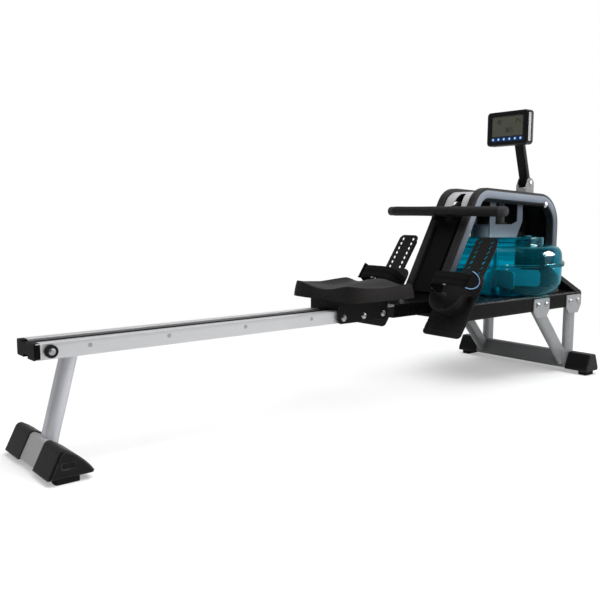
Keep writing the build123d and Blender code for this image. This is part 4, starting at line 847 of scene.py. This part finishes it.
def addArch():
    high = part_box("arch_panels")[1]
    inner, outer = high.y - archSizes["thickness"] + archSizes["faceThickness"], high.y
    band, faceTo, step = archSizes["band"], archSizes["faceTo"], archSizes["step"]
    hollow = outer - archSizes["bevelDepth"]
    section = roundedLine(
        ((0, inner), (0, outer), (faceTo, outer), (band - step, hollow), (band, hollow - archSizes["lip"]),
         (band, inner)), archSizes["rounds"], archSizes["roundSteps"])
    bodies = [sheetOf(np.swapaxes(archSweep(section, side), 0, 1), closeColumns=True, capRows=True)
              for side in (1, -1)]
    addPiece("arch_bodies", bodies, "dark_plastic", "frame", ("arch_panels",), crease=50.0)
    share = np.linspace(0, 1, archSizes["faceSteps"])
    inset = archSizes["faceFrom"] + share * (faceTo - step - archSizes["faceFrom"])
    lift = archSizes["crown"] * np.sin(np.pi * share) ** 0.5
    skin = np.stack((inset, outer + lift), -1)
    under = np.stack((inset, np.full_like(inset, outer - step)), -1)
    faces = [slabOf(archSweep(skin, side), archSweep(under, side)) for side in (1, -1)]
    addPiece("arch_face_skins", faces, "face_paint", "frame", ("arch_faces",), crease=50.0)


# footrests: slotted board, heel cradle with a flared cup, strap with its tail, piping and buckle

footSizes = dict(slope=55.0, gap=0.0003, length=0.238, sole=0.0063, soleAlong=(0, 0.06, 0.14, 0.20),
                 soleHalf=(0.0785, 0.0785, 0.074, 0.074, 0.070), corners=(0.014, 0.024),
                 creases=(0.020, 0.046), creaseDepth=0.0016, creaseWidth=0.0022, rimWidth=0.003,
                 rimDrop=0.002, rows=120, columns=60)


def footPlace(side, along, across, lift):  # from board coordinates to the frame
    low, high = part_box("heel_cradle_left")
    slope = np.radians(footSizes["slope"])
    heelX = high.x - footSizes["length"] * np.cos(slope) + footSizes["gap"] * np.sin(slope)
    heelZ = low.z - footSizes["gap"] * np.cos(slope)
    middle = (low.y + high.y) / 2
    x = heelX + along * np.cos(slope) - lift * np.sin(slope)
    z = heelZ + along * np.sin(slope) + lift * np.cos(slope)
    return np.stack(np.broadcast_arrays(x, side * (middle + across), z), -1)


boardSizes = dict(low=0.036, length=0.349, half=0.044, offset=0.0115, thick=0.0032, corner=0.018,
                  lowCorner=0.004, slots=8, pitch=0.0203, margin=0.017, columns=0.049, slotLength=0.0145,
                  slotWidth=0.0085, slotRound=0.98, slotSteps=6, turn=28.0, wall=0.005, wallDepth=0.024,
                  wallTo=0.215, wallFall=0.02, rimDepth=0.008, rimFall=0.01, sunk=0.001, innerFrom=0.160)


def addBoards():  # the plate with two columns of slanted slots, and its two side walls
    low, half, corner = boardSizes["low"], boardSizes["half"], boardSizes["corner"]
    top = low + boardSizes["length"]
    outline = roundedLine(((low, -half), (top, -half), (top, half), (low, half)),
                          (boardSizes["lowCorner"], corner, corner, boardSizes["lowCorner"]))
    tip, wide = boardSizes["slotLength"] / 2, boardSizes["slotWidth"] / 2
    slot = roundedLine(((-tip, -wide), (tip, -wide), (tip, wide), (-tip, wide)),
                       (wide * boardSizes["slotRound"],) * 4, boardSizes["slotSteps"])
    turn = np.radians(boardSizes["turn"])
    slot = slot @ np.array(((np.cos(turn), np.sin(turn)), (-np.sin(turn), np.cos(turn))))
    spots = [(top - boardSizes["margin"] - row * boardSizes["pitch"], column * boardSizes["columns"] / 2)
             for row in range(boardSizes["slots"]) for column in (1, -1)]
    plate = plateOf([outline] + [slot + spot for spot in spots], -boardSizes["thick"], 0)
    deep, wall, sunk, rim = (-boardSizes["wallDepth"], boardSizes["wall"], -boardSizes["sunk"],
                             -boardSizes["rimDepth"])
    end, shallow = top - corner, boardSizes["wallTo"]
    sheets = []
    for side in (1, -1):
        def onBoard(along, across, lift):
            return footPlace(side, along, boardSizes["offset"] + across, lift)

        sheets.append(placed(plate, onBoard))
        for start, edge in ((low, half - wall), (boardSizes["innerFrom"], -half)):
            face = np.array(((start, sunk), (end, sunk), (end - boardSizes["rimFall"], rim),
                             (shallow + boardSizes["wallFall"], rim), (shallow, deep), (start, deep)))
            cheek = plateOf([face], edge, edge + wall)
            sheets.append(placed(cheek, lambda along, lift, across: onBoard(along, across, lift)))
    addPiece("slotted_boards", sheets, "black_plastic", "frame", ("foot_boards",), footMoulding)


cupSizes = dict(middle=0.122, rim=0.060, base=0.045, height=0.058, reach=0.034, wall=0.0035, flare=0.8,
                fall=0.85, sunk=0.001, around=60, legSteps=16, riseSteps=12, lipSteps=7)


def addCradle(side, word):  # the sole is a slab as wide as its outline, with two creases and a soft rim
    along = np.linspace(0, footSizes["length"], footSizes["rows"])[:, None]
    share = np.linspace(-1, 1, footSizes["columns"])[None, :]
    half = np.interp(along, (*footSizes["soleAlong"], footSizes["length"]), footSizes["soleHalf"])
    for corner, away in zip(footSizes["corners"], (along, footSizes["length"] - along)):
        near = np.clip(corner - away, 0, corner)
        half = half - corner + np.sqrt(corner ** 2 - near ** 2)
    across = share * half
    crease = sum(np.exp(-((along - spot) / footSizes["creaseWidth"]) ** 2)
                 for spot in footSizes["creases"]) * footSizes["creaseDepth"]
    rim = smooth((1 - np.abs(share)) * half / footSizes["rimWidth"])
    top = footSizes["sole"] - footSizes["rimDrop"] * (1 - rim) - crease
    plate = slabOf(footPlace(side, along, across, top), footPlace(side, along, across, footSizes["gap"]))

    # cup: a wall flaring from base to rim, carried round the heel and along both sides, lower at its ends
    around = np.linspace(-np.pi / 2, np.pi / 2, cupSizes["around"])
    ahead = np.linspace(1, 0, cupSizes["legSteps"])[:-1]
    leg = np.concatenate((ahead, 0 * around, ahead[::-1])) * cupSizes["reach"]
    back = np.concatenate((0 * ahead, np.cos(around), 0 * ahead))[:, None]
    out = np.concatenate((0 * ahead - 1, np.sin(around), 0 * ahead + 1))[:, None]
    rise = np.linspace(0, 1, cupSizes["riseSteps"])
    lip = np.linspace(0, np.pi, cupSizes["lipSteps"])[1:-1]
    wall = cupSizes["wall"]
    level = np.concatenate((rise, 1 + wall / 2 / cupSizes["height"] * np.sin(lip), rise[::-1]))
    shift = np.concatenate((wall / 2 + 0 * rise, wall / 2 * np.cos(lip), -wall / 2 + 0 * rise))
    widen = np.minimum(level, 1) ** cupSizes["flare"]
    flare = cupSizes["base"] + (cupSizes["rim"] - cupSizes["base"]) * widen
    radius = (flare + shift)[None, :]
    tall = cupSizes["height"] * (1 - cupSizes["fall"] * smooth(leg / cupSizes["reach"]))[:, None]
    points = footPlace(side, cupSizes["middle"] - radius * back + leg[:, None], radius * out,
                       footSizes["sole"] - cupSizes["sunk"] + tall * level[None, :])
    cup = sheetOf(points, closeColumns=True, capRows=True)
    addPiece(f"cradle_{word}", [plate, cup], "black_plastic", f"{word}_cradle", (f"heel_cradle_{word}",),
             footMoulding, crease=60.0)


footStrapSizes = dict(low=0.146, width=0.050, half=0.076, rise=0.085, thick=0.005, power=5.0, steps=90)


def addFootStrap(side, word):  # the band follows a squared ellipse over the foot
    angle = np.linspace(0, np.pi, footStrapSizes["steps"])
    power = 2 / footStrapSizes["power"]
    across = footStrapSizes["half"] * np.sign(np.cos(angle)) * np.abs(np.cos(angle)) ** power
    sole = footSizes["sole"]
    lift = sole + (footStrapSizes["rise"] - sole) * np.abs(np.sin(angle)) ** power
    middle = footStrapSizes["low"] + footStrapSizes["width"] / 2
    path = footPlace(side, np.full_like(across, middle), across, lift)
    slope = np.radians(footSizes["slope"])
    upBoard = np.broadcast_to((np.cos(slope), 0, np.sin(slope)), path.shape)
    points = bandAlong(path, upBoard, footStrapSizes["width"], footStrapSizes["thick"])
    strap = addPiece(f"strap_{word}", [sheetOf(points, closeColumns=True, capRows=True)], "webbing",
                     f"{word}_cradle", (f"foot_strap_{word}",), flow=bandFlow(path, points.shape[1]))


tailSizes = dict(middle=0.176, half=0.030, skew=0.014, top=0.079, drop=0.052, inner=0.0770, outer=0.0795,
                 piping=0.0016, steps=48, rows=10, weave=20)


def addStrapTail(side, word):  # a round flap outside the strap: half a leaning ellipse, with a piped edge
    angle = np.linspace(0, np.pi, tailSizes["steps"])
    place = tailSizes["middle"] + tailSizes["half"] * np.cos(angle)
    edge = np.stack((place + tailSizes["skew"] * np.sin(angle),
                     tailSizes["top"] - tailSizes["drop"] * np.sin(angle)), -1)
    chord = np.stack((place, 0 * angle + tailSizes["top"]), -1)
    flap = chord + (edge - chord) * np.linspace(0, 1, tailSizes["rows"])[:, None, None]
    faces = [footPlace(side, flap[..., 0], tailSizes[key], flap[..., 1]) for key in ("outer", "inner")]
    addPiece(f"strap_tail_{word}", [slabOf(*faces)], "webbing", f"{word}_cradle",
             flow=np.tile(flap.reshape(-1, 2) * (1, tailSizes["weave"]), (2, 1)))
    line = tubeAlong(footPlace(side, edge[:, 0], tailSizes["outer"], edge[:, 1]), tailSizes["piping"])
    addPiece(f"strap_piping_{word}", [sheetOf(line, closeColumns=True, capRows=True)], "webbing",
             f"{word}_cradle", paint=pipingCloth)


buckleSizes = dict(side=((0.149, -0.078, 0.035), (0.007, 0.003, 0.030)),
                   top=((0.1455, 0.0, 0.0865), (0.005, 0.012, 0.003)), corner=0.0012, steps=3)


def addBuckle(side, word):  # two bars with rounded corners, each from its middle and its size on the board
    bars = []
    for key in ("side", "top"):
        spot, size = np.array(buckleSizes[key])
        low, high = spot - size / 2, spot + size / 2
        bar = np.array(((low[0], low[1]), (high[0], low[1]), (high[0], high[1]), (low[0], high[1])))
        bar = roundedLine(bar, (buckleSizes["corner"],) * 4, buckleSizes["steps"])
        bars.append(placed(plateOf([bar], low[2], high[2]),
                           lambda along, out, rise: footPlace(side, along, out, rise)))
    addPiece(f"strap_buckle_{word}", bars, "bolt_steel", f"{word}_cradle")


# rail end, bolt heads, drive guard and display digits

endSizes = dict(thick=0.0042, sleeve=0.0105, proud=0.0004, chamfer=0.004, groove=0.026, grooveDepth=0.004,
                notch=0.013, notchDepth=0.008, edge=0.001, notchEdge=0.002, steps=4)


def addRailEnd():  # a full black block over the rail's end with a shallow groove on top and a notch below
    proud = Vector((0, endSizes["proud"], endSizes["proud"]))
    low, high = railLow - proud, railHigh + proud
    groove, notch, cut = endSizes["groove"], endSizes["notch"], endSizes["chamfer"]
    edge, inside = endSizes["edge"], endSizes["notchEdge"]
    top, under = high.z - endSizes["grooveDepth"], low.z + endSizes["notchDepth"]
    outline = roundedLine(
        ((low.y, low.z), (-notch, low.z), (-notch, under), (notch, under), (notch, low.z), (high.y, low.z),
         (high.y, high.z), (groove, high.z), (groove, top), (-groove, top), (-groove, high.z),
         (low.y, high.z)),
        (cut, edge, inside, inside, edge, cut, cut, edge, edge, edge, edge, cut), endSizes["steps"])
    plate = plateOf([outline], low.x - endSizes["thick"], low.x + endSizes["sleeve"])
    block = placed(plate, lambda y, z, x: np.stack((x, y, z), -1))
    addPiece("rail_end_block", [block], "black_plastic", "frame", ("rail_end_cap",))


headSizes = dict(washer=0.0012, washerReach=1.18, wall=0.45, sunk=0.0002, axis=0.0003, steps=8, around=28)


def boltHead(spot, side, radius, height, socket):  # washer, domed head and socket on a side face
    x, y, z = spot
    thick, wide = headSizes["washer"], headSizes["washerReach"] * radius
    turn = np.linspace(0, 1, headSizes["steps"]) * np.arccos(socket / radius)
    rise = headSizes["wall"] + (1 - headSizes["wall"]) * np.sin(turn)
    dome = np.stack((thick + height * rise, radius * np.cos(turn)), -1)
    rim = ((-headSizes["sunk"], wide), (thick, wide), (thick, radius))
    hole = ((thick, socket), (thick, headSizes["axis"]))
    profile = np.concatenate((rim, dome, hole))
    profile[:, 0] = side * (y + profile[:, 0])
    return sheetOf(turnedY(profile, (x, z), headSizes["around"]), closeColumns=True, capRows=True)


boltSizes = dict(plate=(0.0085, 0.0048, 0.0042), arch=(0.0100, 0.0055, 0.0030), stop=(0.0070, 0.0044, 0.0044),
                 plateWidth=0.096, plateReach=0.026, plateRise=0.023, archBack=0.0965, archDrop=0.0553)


def addFrameBolts():  # domed socket heads with washers, over the plain heads of the frame
    legsLow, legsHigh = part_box("leg_brackets")
    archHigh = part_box("arch_panels")[1]
    stopLow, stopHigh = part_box("rail_stops")
    inset, plateZ = boltSizes["plateWidth"] / 2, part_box("front_legs")[1].z + boltSizes["plateRise"]
    archSpot = (archHigh.x - boltSizes["archBack"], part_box("arch_faces")[1].y,
                archHigh.z - boltSizes["archDrop"])
    stopSpot = ((stopLow.x + stopHigh.x) / 2, stopHigh.y, (stopLow.z + stopHigh.z) / 2)
    heads = []
    for side in (1, -1):
        for middle in (legsLow.x + inset, legsHigh.x - inset):
            heads += [boltHead((middle + step * boltSizes["plateReach"], legsHigh.y, plateZ), side,
                               *boltSizes["plate"]) for step in (-1, 1)]
        heads.append(boltHead(archSpot, side, *boltSizes["arch"]))
        heads.append(boltHead(stopSpot, side, *boltSizes["stop"]))
    addPiece("frame_bolt_heads", heads, "bolt_steel", "frame")


screwSizes = dict(at=(0.1111, 0.2923, 0.4957, 0.6992), drop=0.015, outer=0.0056, inner=0.0036, proud=0.00012,
                  sunk=0.0002, around=28)


def addScrewRings():  # thin rings round the rail's side screws, at shares of its length
    outer, inner, proud, sunk = (screwSizes[key] for key in ("outer", "inner", "proud", "sunk"))
    ring = np.array(((-sunk, outer), (proud, outer), (proud, inner), (-sunk, inner)))
    rings = []
    for share in screwSizes["at"]:
        place = (railLow.x + share * (railHigh.x - railLow.x), railHigh.z - screwSizes["drop"])
        rings += [sheetOf(turnedY(ring * (side, 1) + (side * railHigh.y, 0), place, screwSizes["around"]),
                          closeRows=True, closeColumns=True) for side in (1, -1)]
    addPiece("rail_screw_rings", rings, "bolt_steel", "frame")


carriageBolts = dict(head=(0.0086, 0.0046, 0.0036), reach=0.085, drop=0.022)


def addCarriageBolts():  # three heads along each side of the seat's carriage
    low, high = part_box("seat_carriage")
    middle, height = (low.x + high.x) / 2, railHigh.z - carriageBolts["drop"]
    heads = [boltHead((middle + step * carriageBolts["reach"], high.y, height), side, *carriageBolts["head"])
             for side in (1, -1) for step in (-1, 0, 1)]
    addPiece("carriage_bolt_heads", heads, "bolt_steel", "seat")


guardSizes = dict(thick=0.002, clear=0.0006, rear=0.055, front=0.128, low=0.012, high=0.012, corner=0.01,
                  steps=4)


def addDriveGuard():  # the black plate behind the drive, on the far cheek of its bracket
    low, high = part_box("pulley_bracket")
    near = high.y + guardSizes["clear"]
    rear, front = low.x - guardSizes["rear"], high.x + guardSizes["front"]
    under, top = low.z + guardSizes["low"], high.z - guardSizes["high"]
    outline = roundedLine(((rear, under), (front, under), (front, top), (rear, top)),
                          (guardSizes["corner"],) * 4, guardSizes["steps"])
    plate = plateOf([outline], near, near + guardSizes["thick"])
    guard = placed(plate, lambda x, z, y: np.stack((x, y, z), -1))
    addPiece("drive_guard", [guard], "black_plastic", "frame")


digitSizes = dict(height=0.016, width=0.0090, pen=0.0025, thick=0.0001, inkShare=0.8, step=0.0125,
                  groups=((0.046, 0.018, "18"), (-0.040, 0.018, "24"), (0.006, -0.014, "365")))
digitBars = {"1": "bc", "2": "abged", "3": "abgcd", "4": "fgbc", "5": "afgcd", "6": "afgedc", "8": "abcdefg"}


def addDigits():  # plain figures of seven bars, just over the display
    low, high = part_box("console_lens")
    tall, wide, pen = digitSizes["height"] / 2, digitSizes["width"], digitSizes["pen"]
    level = {"a": tall, "g": 0.0, "d": -tall}
    upright = {"b": (wide / 2, tall / 2), "c": (wide / 2, -tall / 2), "e": (-wide / 2, -tall / 2),
               "f": (-wide / 2, tall / 2)}
    front = low.x - digitSizes["thick"]
    sheets = []
    for groupY, groupZ, figures in digitSizes["groups"]:
        for place, figure in enumerate(figures):
            for bar in digitBars[figure]:
                along, rise = (0.0, level[bar]) if bar in level else upright[bar]
                reach = np.array((wide / 2 - pen, pen / 2) if bar in level else (pen / 2, tall / 2 - pen / 2))
                middle = np.array((along + place * digitSizes["step"], rise))
                corners = middle + reach * np.array(((-1, -1), (1, -1), (1, 1), (-1, 1)))
                plate = plateOf([corners], front, front + digitSizes["thick"] * digitSizes["inkShare"])
                sheets.append(placed(plate, lambda right, up, x: np.stack(
                    (x, groupY - right, (low.z + high.z) / 2 + groupZ + up), -1)))
    addPiece("display_digits", sheets, "display_window", "console", paint=digitInk)


addSeat()
addHandle()
addPullStrap()
addTank()
addPlug()
addArch()
for footSide, footWord in ((1, "left"), (-1, "right")):
    addCradle(footSide, footWord)
    addFootStrap(footSide, footWord)
    addStrapTail(footSide, footWord)
    addBuckle(footSide, footWord)
addBoards()
addRailEnd()
addFrameBolts()
addScrewRings()
addCarriageBolts()
addDriveGuard()
addDigits()
print("pieces built")


# stage, light and camera

floorSizes = dict(half=7.0, lift=0.36, far=0.88, colour=0.88, bounce=0.50, fadeFrom=1.3, fadeTo=2.6,
                  frontReach=0.70, rearReach=0.62, nearFrom=0.40, nearTo=0.95)


def addFloor():  # a pale floor that keeps the shadow near the feet and is lifted to white farther out
    half = floorSizes["half"]
    mesh = bpy.data.meshes.new("floor")
    mesh.from_pydata([(-half, -half, 0), (half, -half, 0), (half, half, 0), (-half, half, 0)], [],
                     [(0, 1, 2, 3)])
    made = bpy.data.objects.new("floor", mesh)
    bpy.context.scene.collection.objects.link(made)
    paint, tree, shader = newMaterial("floorPaint", Roughness=0.9)
    seen = addNode(tree, "LightPath")
    bounce = floorSizes["bounce"]
    tone = addMath(tree, "MULTIPLY_ADD", seen["Is Camera Ray"], floorSizes["colour"] - bounce, bounce)
    fill(tree, shader, {"Base Color": tone})
    spot = objectSpot(tree)
    away = addNode(tree, "VectorMath", {0: spot}, operation="LENGTH")["Value"]
    reaches = []
    for node, key in (("front_foot_bar", "frontReach"), ("rear_foot_bar", "rearReach")):
        low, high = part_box(node)
        foot = ((low.x + high.x) / 2, (low.y + high.y) / 2, 0.0)
        apart = addNode(tree, "VectorMath", {0: spot, 1: foot}, operation="DISTANCE")["Value"]
        reaches.append(addMath(tree, "DIVIDE", apart, floorSizes[key]))
    near = easeOver(tree, addMath(tree, "MINIMUM", *reaches), floorSizes["nearFrom"], floorSizes["nearTo"],
                    floorSizes["lift"], floorSizes["far"])
    fade = easeOver(tree, away, floorSizes["fadeFrom"], floorSizes["fadeTo"], near, 1.0)
    white = addMath(tree, "MAXIMUM", seen["Is Camera Ray"], seen["Is Transmission Ray"])
    lift = addMath(tree, "MULTIPLY", white, fade)
    glow = addNode(tree, "Emission", {"Color": rgb(1, 1, 1), "Strength": 1.0})[0]
    mix = addNode(tree, "MixShader", {0: lift, 1: tree.nodes["Principled BSDF"].outputs[0], 2: glow})[0]
    fill(tree, tree.nodes["Material Output"].inputs, {"Surface": mix})
    mesh.materials.append(paint)


studioSizes = dict(ambient=0.40, room=0.10, white=0.45, backdrop=(0.62, 0.76, -0.2), roomTo=-0.25,
                   backdropFrom=0.55)


def addWorld():  # white for camera and clear plastic; gloss sees a white backdrop and a darker room
    world = bpy.data.worlds.new("studio")
    bpy.context.scene.world = world
    world.use_nodes = True
    tree = world.node_tree
    seen = addNode(tree, "LightPath")
    looking = addNode(tree, "TexCoord")["Generated"]
    facing = addNode(tree, "VectorMath", {0: looking, 1: studioSizes["backdrop"]},
                     operation="DOT_PRODUCT")["Value"]
    shine = easeOver(tree, facing, studioSizes["roomTo"], studioSizes["backdropFrom"], studioSizes["room"],
                     studioSizes["white"])
    clear = addMath(tree, "MAXIMUM", seen["Is Camera Ray"], seen["Is Transmission Ray"])
    ambient = addMath(tree, "MULTIPLY_ADD", clear, 1.0 - studioSizes["ambient"], studioSizes["ambient"])
    power = addNode(tree, "Mix", {0: seen["Is Glossy Ray"], 2: ambient, 3: shine}, data_type="FLOAT")[0]
    fill(tree, tree.nodes["Background"].inputs, {"Color": rgb(1, 1, 1), "Strength": power})


def addLamp(name, spot, aim, size, power, matt=True, gloss=True, lit=()):  # a soft square lamp
    lamp = bpy.data.lights.new(name, "AREA")
    lamp.size = size
    lamp.energy = power
    made = bpy.data.objects.new(name, lamp)
    made.location = spot
    made.rotation_euler = (Vector(aim) - Vector(spot)).to_track_quat("-Z", "Y").to_euler()
    made.visible_diffuse = matt
    made.visible_glossy = gloss
    if lit:  # it falls on these pieces alone
        made.light_linking.receiver_collection = bpy.data.collections.new(name)
        for piece in lit:
            made.light_linking.receiver_collection.objects.link(bpy.data.objects[piece])
    bpy.context.scene.collection.objects.link(made)


photoCamera = dict(fromRailEnd=(-0.5809, -1.7123, 0.6082), yaw=-39.271, pitch=6.859, roll=0.182, lens=44.38,
                   sensor=36)


def addCamera():  # stands where the photograph was taken from, measured from the rail's rear end
    lens = bpy.data.cameras.new("photoCamera")
    lens.sensor_width = photoCamera["sensor"]
    lens.lens = photoCamera["lens"]
    made = bpy.data.objects.new("photoCamera", lens)
    turn, tilt, roll = np.radians([photoCamera[key] for key in ("yaw", "pitch", "roll")])
    back = np.array((np.sin(turn) * np.cos(tilt), -np.cos(turn) * np.cos(tilt), np.sin(tilt)))
    level = np.array((np.cos(turn), np.sin(turn), 0))
    rise = np.cross(back, level)
    right = level * np.cos(roll) + rise * np.sin(roll)
    up = rise * np.cos(roll) - level * np.sin(roll)
    made.matrix_world = Matrix(np.array((right, up, back)).T).to_4x4()
    made.location = Vector((railLow.x, 0, 0)) + Vector(photoCamera["fromRailEnd"])
    bpy.context.scene.collection.objects.link(made)
    bpy.context.scene.camera = made


addFloor()
addWorld()
sideSpot, sideAim = (2.3, -1.3, 1.1), (0.75, -0.2, 0.5)
allPieces = [piece.name for piece in bpy.data.objects if piece.type == "MESH" and piece.name != "floor"]
addLamp("overhead", (0.2, -0.4, 2.6), (0.2, 0, 0.3), size=2.0, power=42)
addLamp("front", (0.4, -2.4, 2.2), (0.3, 0, 0.4), size=1.4, power=22, gloss=False)
addLamp("sideCard", sideSpot, sideAim, size=0.9, power=34, matt=False,
        lit=("console_front_shell", "frame_bolt_heads", "carriage_bolt_heads"))
addLamp("tankCard", sideSpot, sideAim, size=0.9, power=520, matt=False, lit=("tank_bowl", "tank_dome"))
addLamp("floorWash", (0.0, 0.0, 3.4), (0.0, 0.0, 0.0), size=4.5, power=100, lit=("floor",))
addLamp("side", sideSpot, sideAim, size=1.2, power=10, lit=allPieces)
addCamera()
bpy.context.scene.view_settings.view_transform = "Standard"
print("stage, lamps and camera placed")
